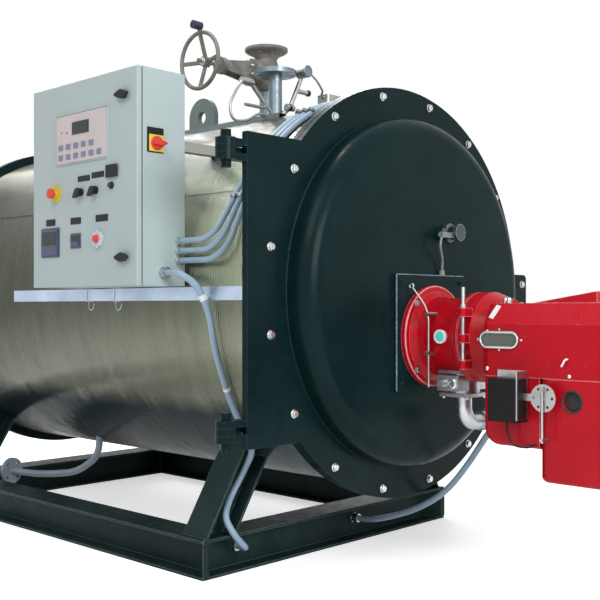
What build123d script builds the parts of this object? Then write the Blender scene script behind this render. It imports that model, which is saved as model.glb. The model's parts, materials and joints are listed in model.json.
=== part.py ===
from build123d import *
import math
import os

# Industrial fire-tube boiler on a skid, with a hinged front door that carries the burner.
# Millimetres. X runs to the right as seen from the burner, Y to the rear, Z up.
# The origin is on the floor, under the middle of the skid.

# Skid of I beams with mitred corners
skid_length = 2180
skid_width = 1548
beam_height = 150
beam_width = 150
beam_flange = 10
beam_web = 8
corner_plate = 18

# Slanted H-beam legs
leg_depth = 133
leg_width = 140
leg_flange = 9
leg_web = 7
leg_foot_inset = 102
leg_head_x = 478
leg_inset = 80
rear_leg_inset = 150

# Boiler drum
drum_clearance = 154
shell_radius = 786
shell_wall = 75
drum_length = 2530
door_overhang = 365
flange_reach = 42
flange_thickness = 25
seat_gap = 0.3
door_gap = 5

# Fire side behind the door
tube_plate_thickness = 20
furnace_radius = 320
furnace_wall = 12
furnace_end_gap = 255
burner_drop = 172
smoke_tube_radius = 24
smoke_tube_wall = 3
tube_collar = 5
tube_pitch = 66

# Rear end
rear_dome_depth = 60
rear_dome_inset = 96
flue_radius = 160
flue_wall = 5
flue_length = 150
flue_flange_width = 40
flue_flange = 10
flue_rise = 240

# Front door with its dished cover
door_thickness = 25
opening_inset = 35
door_left_reach = 61
frame_inset = 30
door_half_height = 547
dome_rim = 24
dome_depth = 112
dome_shoulder = 70
dome_wall = 8
lining_gap = 4
lining_reach = 18
closing_lug_reach = 102
closing_lug_half = 95
closing_lug_corner = 24
throat_gap = 12

# Door hinges
hinge_reach = 76
hinge_offset = 479
hinge_lug = 24
hinge_lug_gap = 1.5
hinge_lug_end = 36
hinge_lug_plate = 35
hinge_pin_radius = 12
pin_clearance = 0.1
bolt_head = 26
bolt_head_radius = 20

# Sight glass on the dish, with its cooling-air pipe
sight_x = 128
sight_rise = 245
sight_length = 66
sight_radius = 28
sight_flange_radius = 38
sight_flange = 16
air_pipe_radius = 5
air_pipe_nipple = 12

# Fittings on the top of the drum
pipe_wall = 4
flange_bolt_hole = 9
safety_x = -150
safety_back = 608
safety_rise = 194
safety_pipe_radius = 30
safety_flange_radius = 92.5
safety_flange = 20
safety_bolt_circle = 72.5
safety_bolts = 4
valve_back = 818
valve_rise = 231
valve_bulb_radius = 72
valve_foot_radius = 45
valve_outlet_rise = 125
valve_flange_radius = 100
valve_flange = 18
valve_bolt_circle = 80
valve_bolts = 8
valve_bore = 36
valve_stub_radius = 32
valve_pad_radius = 70
pad_thickness = 12
bonnet_start = 92
bonnet_radius = 62
bonnet_flange = 18
yoke_length = 190
yoke_half_wide = 44
yoke_half_narrow = 20
yoke_arm = 12
yoke_spread = 68
packing_radius = 24
packing_length = 58
stem_radius = 9
handwheel_reach = 405
handwheel_radius = 130
handwheel_dish = 34
rim_radius = 9
knob_radius = 18
knob_length = 46
knob_rise = 24
lug_back = 1264
lug_width = 190
lug_height = 190
lug_plate = 25
lug_hole_radius = 29
lug_pad_half = 60
lug_pad_margin = 20

# Impulse pipes, level probe and cable trays
impulse_radius = 10
impulse_hose_radius = 6
switch_radius = 27
probe_x = 188
probe_back = 590
probe_rise = 132
probe_stub_radius = 20
probe_head_length = 104
probe_head_height = 46
tray_rise = 18
tray_height = 50
tray_depth = 30
tray_sheet = 2
tray_start = 70
tray_end = 1650
strip_x = -214
strip_half = 22
strip_start = 500
strip_end = 1130
strip_cover = 15

# Control cabinet
cabinet_depth = 222
cabinet_shell_gap = 19
cabinet_start = 435
cabinet_width = 702
cabinet_rise = 22
cabinet_height = 801
cabinet_wall = 3
cabinet_door_depth = 20
cabinet_hinge_radius = 7
cabinet_hinge_length = 70
cabinet_hinge_margin = 120
bracket_width = 40
bracket_inset = 90
mounting_plate_inset = 40
mounting_plate_lift = 12
mounting_rail = 30

# Burner, with heights from its own axis
burner_plate_size = 453
burner_plate_thickness = 15
burner_plate_rise = 15
burner_flange_radius = 200
burner_flange_thickness = 22
burner_neck_radius = 150
burner_collar_radius = 172
burner_collar_start = 345
blast_tube_radius = 125
blast_tube_wall = 5
blast_tube_reach = 220
housing_half_width = 207
housing_start = 490
housing_length = 690
housing_below = 129
housing_ridge = 56
housing_above = 129
housing_slope = 45
hood_start = 673
hood_end = 915
hood_rise = 39
hood_inset = 50
volute_half_width = 202
volute_below = 374
volute_end = 727
volute_round = 60
housing_nose = 34
air_box_half_width = 215
air_box_below = 483
air_box_round = 40
air_port_back = 855
air_port_below = 201
air_port_radius = 34
air_port_depth = 18
motor_back = 850
motor_below = 278
motor_radius = 95
motor_length = 190
motor_flange_radius = 115
motor_fins = 18
motor_fin = 5
throttle_back = 281
throttle_drop = 130
throttle_radius = 60
throttle_half = 110
throttle_height = 100
gas_pipe_radius = 30
gas_pipe_wall = 4
gas_pipe_drop = 106
gas_pipe_reach = 140
servo_start = 568
servo_length = 113
servo_width = 78
servo_below = 280
servo_height = 150
cam_radius = 47
cam_back = 770
cam_below = 191
linkage_plate = 5
window_back = 570
window_length = 160
window_height = 62
window_frame = 9
hinge_rod_x = 190
hinge_rod_back = 405
hinge_rod_radius = 8
hinge_rod_above = 188
hinge_rod_below = 113
hinge_rod_nut = 12
setting_rod_x = 170
setting_rod_back = 236
setting_rod_radius = 4
setting_rod_below = 188
setting_rod_bend = 104
setting_rod_reach = 76
setting_rod_above = 190
setting_lug_heights = (-60, 88)
setting_lug_radius = 8

# Controls on the cabinet, from its start and bottom
panel_start = 185
panel_width = 339
panel_rise = 487
panel_height = 187
controls_rise = 366
selector_places = (354, 256)
selector_plate_radius = 15
selector_radius = 11
selector_grip = 26
button_place = 156
button_plate_radius = 14
button_radius = 9
stop_place = 529
stop_disc_radius = 35
stop_button_radius = 20
stop_stem_radius = 12
hand_switch_place = 148
hand_switch_width = 54
hand_switch_rise = 63
hand_switch_height = 44
large_meter = (571.5, 129, 117)
small_meter = (392, 66, 58)
meter_frame = 7
round_meter_place = 239
round_meter_radius = 30
instruments_rise = 179
latch_inset = 76
switch_inset = 87
switch_height = 529
supply_gland_rise = 48

# Conduits
conduit_radius = 11
conduit_pitch = 34
supply_radius = 13
gland_radius = 16
gland_length = 20
supply_gland_radius = 21
supply_gland_length = 26
control_inset = 30
control_rise = 95
control_pitch = 37
control_start = 245
control_lift = 22
supply_inset = 102
skid_gland_inset = 231
skid_gland_back = 424
skid_gland_z = 84
burner_gland_x = 165
burner_gland_back = 395
burner_gland_z = 88
volute_gland_x = 130
volute_gland_below = 278
control_angles = (66, 48, 30, 12)
supply_route = [(-868, 296, 30), (-822, 276, -70), (-792, 278, -210), (-720, 290, -375), (-624, 316, -515),
                (-520, 354, -618)]
supply_foot = [(-534, 402, 380), (-606, 404, 280), (-652, 382, 220), (-632, 343, 150), (-578, 344, 98)]
burner_hose_route = [(1, 180, 32), (2, 320, 84), (5, 473, 174), (10, 585, 300), (20, 680, 427)]

# Blow-down pipe
drain_x = -343
drain_start = 1653
drain_route = [(-2, 12, 290), (-42, 137, 200), (-107, 357, 170), (-157, 587, 170)]
drain_radius = 17
drain_flange_radius = 68
drain_bolt_circle = 48
drain_flange = 16

door_face = -(skid_length / 2 + door_overhang)
axis_height = beam_height + drum_clearance + shell_radius
flange_radius = shell_radius + flange_reach
rear_dome_radius = shell_radius - rear_dome_inset
door_opening_radius = shell_radius - shell_wall - opening_inset
door_left_x = flange_radius + door_left_reach
dome_radius = door_opening_radius + dome_rim
crown = axis_height + shell_radius
burner_axis = axis_height - burner_drop
dish_face = door_face - dome_depth
valve_axis = crown + valve_rise
valve_top = valve_axis + valve_outlet_rise
safety_flange_top = crown + safety_rise
flue_height = axis_height + flue_rise
hinge_x = door_left_x + hinge_reach
handwheel_x = -handwheel_reach
cabinet_back_x = -(shell_radius + cabinet_shell_gap)
cabinet_front_x = cabinet_back_x - cabinet_depth
control_x = cabinet_back_x - control_inset
supply_x = cabinet_back_x - supply_inset
skid_gland_x = -(skid_width / 2 - skid_gland_inset)
cabinet_bottom = axis_height + cabinet_rise
cabinet_top = cabinet_bottom + cabinet_height
cabinet_hinge_heights = (cabinet_bottom + cabinet_hinge_margin,
                         cabinet_top - cabinet_hinge_margin - cabinet_hinge_length)
tray_top = axis_height + tray_rise
throttle_top = burner_axis - throttle_drop
housing_bottom = burner_axis - housing_below
housing_top = burner_axis + housing_above
burner_gland = (volute_gland_x, burner_axis - volute_gland_below)
furnace_start = door_thickness + door_gap + tube_plate_thickness
furnace_length = drum_length - flange_thickness - furnace_end_gap - furnace_start


def behind(distance):
    """Y of a place at a distance behind the door's front face."""
    return door_face + distance


def block(x, y, z):
    """A box from three (low, high) pairs."""
    size = [high - low for low, high in (x, y, z)]
    middle = [(high + low) / 2 for low, high in (x, y, z)]
    return Pos(*middle) * Box(*size)


def rod_x(radius, low, high, y, z):
    """A round bar along X."""
    return Pos((low + high) / 2, y, z) * Rot(Y=90) * Cylinder(radius, high - low)


def rod_y(radius, low, high, x, z):
    """A round bar along Y."""
    return Pos(x, (low + high) / 2, z) * Rot(X=90) * Cylinder(radius, high - low)


def rod_z(radius, low, high, x, y):
    """A round bar along Z."""
    return Pos(x, y, (low + high) / 2) * Cylinder(radius, high - low)


def upright(sketch, front, thickness, x=0, z=axis_height):
    """A plate that stands across the boiler, cut to a sketch seen from the front."""
    return Pos(x, front, z) * Rot(X=90) * extrude(sketch, amount=-thickness)


def i_section(depth, width, flange, web):
    """The section of an I beam, with its depth along the sketch's Y."""
    gap = (width - web) / 2
    section = Rectangle(width, depth)
    for side in (-1, 1):
        recess = Rectangle(gap, depth - 2 * flange)
        section -= Pos(side * (web + gap) / 2, 0) * recess
    return section


def seat_on_shell(shape):
    """Cuts a fitting's foot to the round of the shell."""
    return shape - rod_y(shell_radius + seat_gap, door_face, -door_face, 0, axis_height)


def plan_prism(points, low, high):
    """A vertical prism on a plan outline."""
    return Pos(0, 0, low) * extrude(make_face(Polyline(*points, close=True)), amount=high - low)


def bolt_holes(circle, count, low, high):
    """Vertical bolt holes on a circle about the Z axis, astride the row's X axis."""
    places = PolarLocations(circle, count, start_angle=180 / count)
    hole = Pos(0, 0, (low + high) / 2) * Cylinder(flange_bolt_hole, high - low)
    return Part() + [place * hole for place in places]


def bend_radii(points):
    """Each bend's radius: as large as the shorter of its two runs allows."""
    radii = []
    for before, here, after in zip(points, points[1:], points[2:]):
        first = Vector(*here) - Vector(*before)
        second = Vector(*after) - Vector(*here)
        half_turn = math.radians(first.get_angle(second)) / 2
        radii.append(0.45 * min(first.length, second.length) / math.tan(half_turn))
    return radii


def conduit(points, radius):
    """A round tube along straight runs joined by tangent arcs."""
    radii = bend_radii(points)
    path = FilletPolyline(*points, radius=radii)
    print("bend radii", [round(value) for value in radii], "length", round(path.length))
    section = Plane(origin=points[0], z_dir=path % 0) * Circle(radius)
    return sweep(section, path=path)


def skid_side(side):
    beam = Rot(X=90) * extrude(i_section(beam_height, beam_width, beam_flange, beam_web),
                               amount=skid_length / 2, both=True)
    outer = skid_width / 2
    beam = Pos(side * (outer - beam_width / 2), 0, beam_height / 2) * beam
    for end in (-1, 1):
        corner = end * skid_length / 2
        inner = corner - end * beam_width
        mitre = [(side * outer, corner), (side * (outer - beam_width), corner),
                 (side * (outer - beam_width), inner)]
        beam -= plan_prism(mitre, -1, beam_height + 1)
    return beam


def skid_cross(end):
    beam = Rot(Z=90) * Rot(X=90) * extrude(
        i_section(beam_height, beam_width, beam_flange, beam_web), amount=skid_width / 2, both=True)
    edge = end * skid_length / 2
    inner = edge - end * beam_width
    beam = Pos(0, edge - end * beam_width / 2, beam_height / 2) * beam
    step = corner_plate * math.sqrt(2)
    for side in (-1, 1):
        outer = side * skid_width / 2
        near = outer - side * beam_width
        beam -= plan_prism([(outer, edge), (outer, inner), (near, inner)], -1, beam_height + 1)
        plate = [(outer, edge), (near, inner), (near, inner + end * step), (outer - side * step, edge)]
        beam += plan_prism(plate, beam_flange / 2, beam_height - beam_flange / 2)
    return beam


def leg(side, end):
    """An H beam that leans in from the skid's side beam to the shell's underside."""
    head_height = axis_height - math.sqrt(shell_radius ** 2 - leg_head_x ** 2)
    inset = leg_inset if end < 0 else rear_leg_inset
    foot_x = side * (skid_width / 2 - leg_foot_inset)
    foot = Vector(foot_x, end * (skid_length / 2 - inset), beam_height)
    head = Vector(side * leg_head_x, foot.Y, head_height)
    along = (head - foot).normalized()
    plane = Plane(origin=foot, x_dir=(0, 1, 0), z_dir=along)
    section = plane * i_section(leg_depth, leg_width, leg_flange, leg_web)
    reach = (head - foot).length
    beam = extrude(section, amount=reach + leg_depth) + extrude(section, amount=-leg_depth)
    beam -= block((-skid_width, skid_width), (-skid_length, skid_length), (-leg_depth, beam_height))
    return seat_on_shell(beam)


def boiler_shell():
    start = behind(door_thickness + door_gap + flange_thickness)
    stop = behind(drum_length - 2 * flange_thickness)
    barrel = rod_y(shell_radius, start, stop, 0, axis_height)
    return barrel - rod_y(shell_radius - shell_wall, start - 1, stop + 1, 0, axis_height)


def front_flange():
    left = door_left_x - frame_inset
    right = flange_radius + closing_lug_reach
    outline = Circle(flange_radius)
    outline += Pos(-left / 2, 0) * Rectangle(left, 2 * door_half_height)
    outline += Pos(right / 2, 0) * RectangleRounded(right, 2 * closing_lug_half, closing_lug_corner)
    outline -= Circle(shell_radius - shell_wall)
    return upright(outline, behind(door_thickness + door_gap), flange_thickness)


def smoke_tube_places():
    """Centres of the tube ends, as (x, z) from the boiler axis: rings clear of the furnace."""
    places = []
    outer = shell_radius - shell_wall - 1.3 * tube_pitch
    clear = furnace_radius + tube_pitch
    for ring in range(3):
        radius = outer - 1.6 * tube_pitch * ring
        count = int(2 * math.pi * radius / (2.2 * tube_pitch))
        for index in range(count):
            turn = math.radians(90 + 360 * index / count)
            x, z = radius * math.cos(turn), radius * math.sin(turn)
            if math.hypot(x, z + burner_drop) > clear:
                places.append((x, z))
    return places


def front_tube_plate():
    front = behind(door_thickness + door_gap)
    outline = Circle(shell_radius - shell_wall - seat_gap)
    outline -= Pos(0, -burner_drop) * Circle(furnace_radius - furnace_wall)
    plate = upright(outline, front, tube_plate_thickness)
    places = smoke_tube_places()
    ends = [Pos(x, z) * Circle(smoke_tube_radius + smoke_tube_wall) for x, z in places]
    bores = [Pos(x, z) * Circle(smoke_tube_radius) for x, z in places]
    proud = tube_collar - 2
    plate += upright(Sketch() + ends, front - proud, tube_collar)
    return plate - upright(Sketch() + bores, front - tube_collar, tube_plate_thickness + 2 * tube_collar)


def furnace_tube():
    start = behind(furnace_start)
    stop = start + furnace_length
    tube = rod_y(furnace_radius, start, stop, 0, burner_axis)
    return tube - rod_y(furnace_radius - furnace_wall, start - 1, stop - furnace_wall, 0, burner_axis)


def rear_flange():
    outline = Circle(flange_radius) - Circle(shell_radius - shell_wall)
    return upright(outline, behind(drum_length - 2 * flange_thickness), flange_thickness - seat_gap)


def rear_cover():
    """Bolted smoke-box cover: a flat rim with a shallow dished middle."""
    front = behind(drum_length - flange_thickness)
    cover = upright(Circle(flange_radius), front, flange_thickness)
    dome = upright(Circle(rear_dome_radius), front, flange_thickness + rear_dome_depth)
    dome = fillet(dome.edges().sort_by(Axis.Y)[-1], rear_dome_depth * 0.8)
    return cover + dome


def flue_outlet():
    start = behind(drum_length + rear_dome_depth) + seat_gap
    stop = start + flue_length
    duct = rod_y(flue_radius, start, stop, 0, flue_height)
    duct += rod_y(flue_radius + flue_flange_width, stop - flue_flange, stop, 0, flue_height)
    return duct - rod_y(flue_radius - flue_wall, start - 1, stop + 1, 0, flue_height)


def door_plate():
    right = flange_radius + closing_lug_reach
    outline = Circle(flange_radius)
    outline += Pos(-door_left_x / 2, 0) * Rectangle(door_left_x, 2 * door_half_height)
    outline += Pos(right / 2, 0) * RectangleRounded(right, 2 * closing_lug_half, closing_lug_corner)
    outline -= Circle(door_opening_radius)
    return upright(outline, door_face, door_thickness)


def door_dome():
    dome = upright(Circle(dome_radius), dish_face, dome_depth - seat_gap)
    dome = fillet(dome.edges().sort_by(Axis.Y)[0], dome_shoulder)
    hollow = upright(Circle(dome_radius - dome_wall), dish_face + dome_wall, dome_depth)
    hollow = fillet(hollow.edges().sort_by(Axis.Y)[0], dome_shoulder - dome_wall)
    hole = rod_y(blast_tube_radius + throat_gap, dish_face - 1, door_face, 0, burner_axis)
    return dome - hollow - hole


def door_lining():
    """Insulating block that fills the door, with the burner's passage through it."""
    start = dish_face + dome_wall + seat_gap
    stop = behind(lining_reach)
    lining = upright(Circle(door_opening_radius - lining_gap), start, stop - start)
    lining = fillet(lining.edges().sort_by(Axis.Y)[0], dome_shoulder)
    return lining - rod_y(blast_tube_radius + throat_gap / 2, start - 1, stop + 1, 0, burner_axis)


def lug_plan(reach_x, low_y, high_y):
    """A hinge lug seen from above: a round eye about the pin and an arm to the right."""
    pin_y = behind(door_thickness)
    eye = Pos(-hinge_x, pin_y) * Circle(hinge_lug_end)
    arm = Pos((reach_x - hinge_x) / 2, (low_y + high_y) / 2) * Rectangle(
        hinge_x + reach_x, high_y - low_y)
    bore = Pos(-hinge_x, pin_y) * Circle(hinge_pin_radius + pin_clearance)
    return eye + arm - bore


def door_hinge_lugs():
    """Two lugs at each hinge, above and below the fixed one."""
    plan = lug_plan(-(door_left_x + seat_gap), door_face, door_face + hinge_lug_plate)
    lugs = Part()
    for side in (-1, 1):
        middle = axis_height + side * hinge_offset
        for place in (-1, 1):
            centre = middle + place * (hinge_lug + hinge_lug_gap)
            lugs += Pos(0, 0, centre - hinge_lug / 2) * extrude(plan, amount=hinge_lug)
    return lugs


def fixed_hinge_lugs():
    start = behind(door_thickness + door_gap)
    plan = lug_plan(-(door_left_x - frame_inset + seat_gap), start, start + flange_thickness)
    lugs = Part()
    for side in (-1, 1):
        middle = axis_height + side * hinge_offset
        lugs += Pos(0, 0, middle - hinge_lug / 2) * extrude(plan, amount=hinge_lug)
    return lugs


def hinge_pins():
    pin_y = behind(door_thickness)
    stack = 1.5 * hinge_lug + hinge_lug_gap
    pins = Part()
    for side in (-1, 1):
        middle = axis_height + side * hinge_offset
        pins += rod_z(hinge_pin_radius, middle - stack - 1, middle + stack + 1, -hinge_x, pin_y)
        for low in (middle - stack - bolt_head - 1, middle + stack + 1):
            head = extrude(RegularPolygon(bolt_head_radius, 6), amount=bolt_head)
            pins += Pos(-hinge_x, pin_y, low) * head
    return pins


def burner_plate():
    front = dish_face - burner_plate_thickness
    outline = Rectangle(burner_plate_size, burner_plate_size)
    outline -= Pos(0, -burner_plate_rise) * Circle(blast_tube_radius + throat_gap)
    return upright(outline, front, burner_plate_thickness - seat_gap, z=burner_axis + burner_plate_rise)


def burner_head():
    """Cast head turned about the burner's axis: flange, waisted neck and the hinge joint's collar."""
    back = dish_face - burner_plate_thickness - seat_gap - door_face
    front = -housing_start + seat_gap
    rim = back - burner_flange_thickness
    collar = -burner_collar_start
    neck = burner_neck_radius
    outline = Polyline((0, back), (burner_flange_radius, back), (burner_flange_radius, rim + 6),
                       (burner_flange_radius - 6, rim), (neck + 26, rim), (neck + 6, rim - 22),
                       (neck, rim - 50), (neck, collar + 26), (burner_collar_radius, collar),
                       (burner_collar_radius, collar - 16), (burner_collar_radius - 5, collar - 16),
                       (burner_collar_radius - 5, collar - 22), (burner_collar_radius, collar - 22),
                       (burner_collar_radius, collar - 75), (burner_collar_radius - 26, front - 0),
                       (0, front), close=True)
    head = revolve(make_face(outline), Axis.Y)
    head = Pos(0, door_face, burner_axis) * head
    y = door_face - hinge_rod_back
    for place in (-1, 0, 1):
        z = burner_axis + place * 96
        knuckle = block((-hinge_rod_x, -neck), (y - 15, y + 15), (z - 16, z + 16))
        head += knuckle + rod_z(15, z - 16, z + 16, -hinge_rod_x, y)
    return head - rod_z(hinge_rod_radius + seat_gap, burner_axis - 200, burner_axis + 200, -hinge_rod_x, y)


def blast_tube():
    start = dish_face - burner_plate_thickness
    stop = behind(blast_tube_reach)
    tube = rod_y(blast_tube_radius, start, stop, 0, burner_axis)
    return tube - rod_y(blast_tube_radius - blast_tube_wall, start + 10, stop + 1, 0, burner_axis)


def burner_housing():
    """Upper casing: flat sides, a shoulder at the ridge line and a narrower top."""
    half = housing_half_width
    top_half = half - housing_slope
    ridge = burner_axis + housing_ridge
    points = [(-half, housing_bottom), (half, housing_bottom), (half, ridge),
              (top_half, housing_top), (-top_half, housing_top), (-half, ridge)]
    front = door_face - housing_start
    casing = upright(make_face(Polyline(*points, close=True)), front - housing_length, housing_length, z=0)
    nose = casing.edges().group_by(Axis.Y)[-1]
    tail = casing.edges().group_by(Axis.Y)[0]
    casing = fillet(nose, housing_nose)
    return casing


def burner_hood():
    """Wedge-shaped cover that rises to the rear of the casing."""
    base = housing_top + seat_gap
    half = housing_half_width - hood_inset
    near = door_face - hood_start
    far = door_face - hood_end
    side = make_face(Polyline((near, base), (far, base), (far, base + hood_rise), close=True))
    return Rot(Z=90) * Rot(X=90) * extrude(side, amount=half, both=True)


def burner_volute():
    """Fan casing under the housing, rounded towards the boiler, with the cable's gland."""
    front = door_face - volute_end
    back = door_face - housing_start - 10
    half = volute_half_width
    low = burner_axis - volute_below
    casing = block((-half, half), (front, back), (low, housing_bottom - seat_gap))
    low_back = casing.edges().filter_by(Axis.X).sort_by(lambda edge: edge.center().Y - edge.center().Z)[-1]
    casing = fillet(low_back, volute_round)
    sides = casing.edges().filter_by(Axis.Z).group_by(Axis.Y)[-1]
    casing = fillet(sides, volute_round / 3)
    return casing + rod_y(supply_gland_radius - 2, back - 1, back + 21 - seat_gap, *burner_gland)


def air_box():
    """Intake box at the burner's far end, rounded, with a blind port in its left side."""
    back = door_face - volute_end - seat_gap
    front = door_face - housing_start - housing_length
    half = air_box_half_width
    box = block((-half, half), (front, back), (burner_axis - air_box_below, housing_bottom - seat_gap))
    box = fillet(box.edges().filter_by(Axis.Z), air_box_round)
    box = fillet(box.edges().group_by(Axis.Z)[0], air_box_round / 2)
    return box - rod_x(air_port_radius, -half - 1, -half + air_port_depth,
                       door_face - air_port_back, burner_axis - air_port_below)


def fan_motor():
    """Finned motor on the air box's right side, with its flange, fan cowl and terminal box."""
    y = door_face - motor_back
    z = burner_axis - motor_below
    start = air_box_half_width + seat_gap
    stop = start + motor_length
    motor = rod_x(motor_radius - motor_fin, start, stop, y, z)
    motor += rod_x(motor_flange_radius, start, start + 14, y, z)
    motor += rod_x(motor_radius, stop - 52, stop, y, z)
    motor = fillet(motor.edges().sort_by(Axis.X)[-1], 20)
    for index in range(motor_fins):
        fin = block((start + 13, stop - 50), (-1.5, 1.5), (motor_radius - 2 * motor_fin, motor_radius))
        motor += Pos(0, y, z) * Rot(X=360 * index / motor_fins) * fin
    top = z + motor_radius
    return motor + block((start + 40, start + 120), (y - 38, y + 38), (top - 20, top + 30))


def gas_port():
    """Throttle under the head: a round body, its square flanges and the drive's block on the left."""
    y = door_face - throttle_back
    top = throttle_top
    low = top - throttle_height
    port = rod_z(throttle_radius, low, top + 20, 0, y)
    port += block((-throttle_half, throttle_half), (y - 48, y + 48), (low + 26, top - 16))
    port += block((-78, 78), (y - 66, y + 66), (top - 10, top + 6))
    port += block((-70, 70), (y - 66, y + 66), (low, low + 14))
    port += rod_x(14, -throttle_half - 22, -throttle_half, y + 18, low + 54)
    port -= rod_y(burner_neck_radius + seat_gap, door_face - housing_start, dish_face, 0, burner_axis)
    step = door_face - burner_collar_start + 28
    return port - rod_y(burner_collar_radius + seat_gap, door_face - housing_start, step, 0, burner_axis)


def gas_elbow():
    """Gas pipe that turns to the right, with the collar that the gas train screws into."""
    y = door_face - throttle_back
    start = throttle_top - throttle_height - seat_gap
    low = start - gas_pipe_drop
    path = FilletPolyline((0, y, start), (0, y, low), (gas_pipe_reach, y, low), radius=70)
    section = Plane(origin=(0, y, start), z_dir=(0, 0, -1)) * Circle(gas_pipe_radius)
    elbow = sweep(section, path=path)
    elbow += rod_x(gas_pipe_radius + 8, gas_pipe_reach - 30, gas_pipe_reach, y, low)
    bore = gas_pipe_radius - gas_pipe_wall
    return elbow - rod_x(bore, gas_pipe_reach - 65, gas_pipe_reach + 1, y, low)


def servo_motor():
    right = -(volute_half_width + seat_gap)
    near = door_face - servo_start
    low = burner_axis - servo_below
    body = block((right - servo_width, right), (near - servo_length, near), (low, low + servo_height))
    return fillet(body.edges().filter_by(Axis.Z), 4)


def throttle_linkage():
    """Servo's bracket plate, the cam disc on its shaft and the push rod down to the damper."""
    right = -(volute_half_width + seat_gap)
    start = door_face - servo_start - servo_length - seat_gap
    low = burner_axis - servo_below
    high = low + servo_height
    top = housing_bottom + 24
    wall = -(housing_half_width + seat_gap)
    bracket = block((right - servo_width, wall), (start - linkage_plate, start), (low + 8, top))
    bracket += block((wall - linkage_plate, wall), (start - linkage_plate, start + 115), (high + seat_gap, top))
    y = door_face - cam_back
    z = burner_axis - cam_below
    x = right - servo_width + 30
    cam = rod_x(cam_radius, x - linkage_plate, x, y, z)
    for turn in range(0, 360, 60):
        angle = math.radians(turn)
        cam -= rod_x(5, x - 9, x + 1, y + 34 * math.cos(angle), z + 34 * math.sin(angle))
    casing = -(air_box_half_width + seat_gap)
    shaft = rod_x(9, x - 8, casing, y, z)
    arm = block((x, x + linkage_plate), (y, start), (z - 12, z + 12))
    rod_place = x - linkage_plate - 6
    rod = rod_z(5, z - 150, z + 36, rod_place, y)
    pivots = rod_x(6, rod_place - 8, x - 1, y, z + 26)
    pivots += rod_x(6, rod_place - 8, casing, y, z - 140)
    return bracket + cam + shaft + arm + rod + pivots


def burner_window():
    """Framed oval window in the casing's left side."""
    x = -(housing_half_width + seat_gap)
    y = door_face - window_back
    plane = Plane(origin=(x, y, burner_axis), x_dir=(0, 1, 0), z_dir=(-1, 0, 0))
    frame = SlotOverall(window_length, window_height) - SlotOverall(
        window_length - 2 * window_frame, window_height - 2 * window_frame)
    pane = SlotOverall(window_length - 2 * window_frame, window_height - 2 * window_frame)
    return extrude(plane * frame, amount=7) + extrude(plane * pane, amount=3)


def burner_rods():
    """Hinge rod through the head's knuckles, and the head's setting rod with its eye."""
    y = door_face - hinge_rod_back
    nut = burner_axis + hinge_rod_below
    rods = rod_z(hinge_rod_radius, burner_axis - hinge_rod_below, burner_axis + hinge_rod_above, -hinge_rod_x, y)
    rods += rod_z(hinge_rod_radius + 5, nut, nut + hinge_rod_nut, -hinge_rod_x, y)
    x, y = -setting_rod_x, door_face - setting_rod_back
    end = y + setting_rod_reach
    setting = conduit([(x, y, burner_axis - setting_rod_below), (x, y, burner_axis + setting_rod_bend),
                       (x, end, burner_axis + setting_rod_above)], setting_rod_radius)
    setting += Pos(x, end + 5, burner_axis + setting_rod_above + 6) * Rot(Y=90) * Torus(9, setting_rod_radius)
    for rise in setting_lug_heights:
        lug = rod_x(setting_lug_radius, x - 16, x + 60, y, burner_axis + rise)
        setting += lug - rod_y(burner_neck_radius + seat_gap, y - 24, y + 26, 0, burner_axis)
    return rods + setting


def sight_glass():
    """Peep tube on the dish, with the cooling-air pipe from the burner's plate."""
    z = axis_height + sight_rise
    front = dish_face - sight_length
    glass = rod_y(sight_radius, front, dish_face - seat_gap, sight_x, z)
    glass += rod_y(sight_flange_radius, dish_face - sight_flange, dish_face - seat_gap, sight_x, z)
    glass += rod_y(sight_flange_radius - 4, front, front + 12, sight_x, z)
    y = dish_face - 38
    glass += rod_x(air_pipe_nipple, sight_x - 100, sight_x, y, z - 12)
    top = burner_axis + burner_plate_rise + burner_plate_size / 2
    glass += rod_z(air_pipe_nipple, top + seat_gap, top + 22, 72, dish_face - 12 - seat_gap)
    pipe = conduit([(sight_x - 92, y, z - 16), (sight_x - 110, y - 4, z - 58), (66, dish_face - 20, top + 62),
                    (72, dish_face - 12, top + 10)], air_pipe_radius)
    return glass + pipe


def safety_nozzle():
    y = behind(safety_back)
    top = safety_flange_top
    nozzle = rod_z(safety_pipe_radius, axis_height, top, safety_x, y)
    nozzle += rod_z(safety_flange_radius, top - safety_flange, top, safety_x, y)
    nozzle -= rod_z(safety_pipe_radius - pipe_wall, axis_height, top + 1, safety_x, y)
    holes = bolt_holes(safety_bolt_circle, safety_bolts, top - safety_flange - 1, top + 1)
    return seat_on_shell(nozzle - Pos(safety_x, y, 0) * holes)


def steam_nozzle():
    y = behind(valve_back)
    top = valve_axis - valve_bulb_radius - seat_gap
    pipe = rod_z(valve_stub_radius, axis_height, top, 0, y)
    pipe += rod_z(valve_pad_radius, axis_height, crown + pad_thickness, 0, y)
    return seat_on_shell(pipe - rod_z(valve_stub_radius - pipe_wall, axis_height, top + 1, 0, y))


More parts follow.
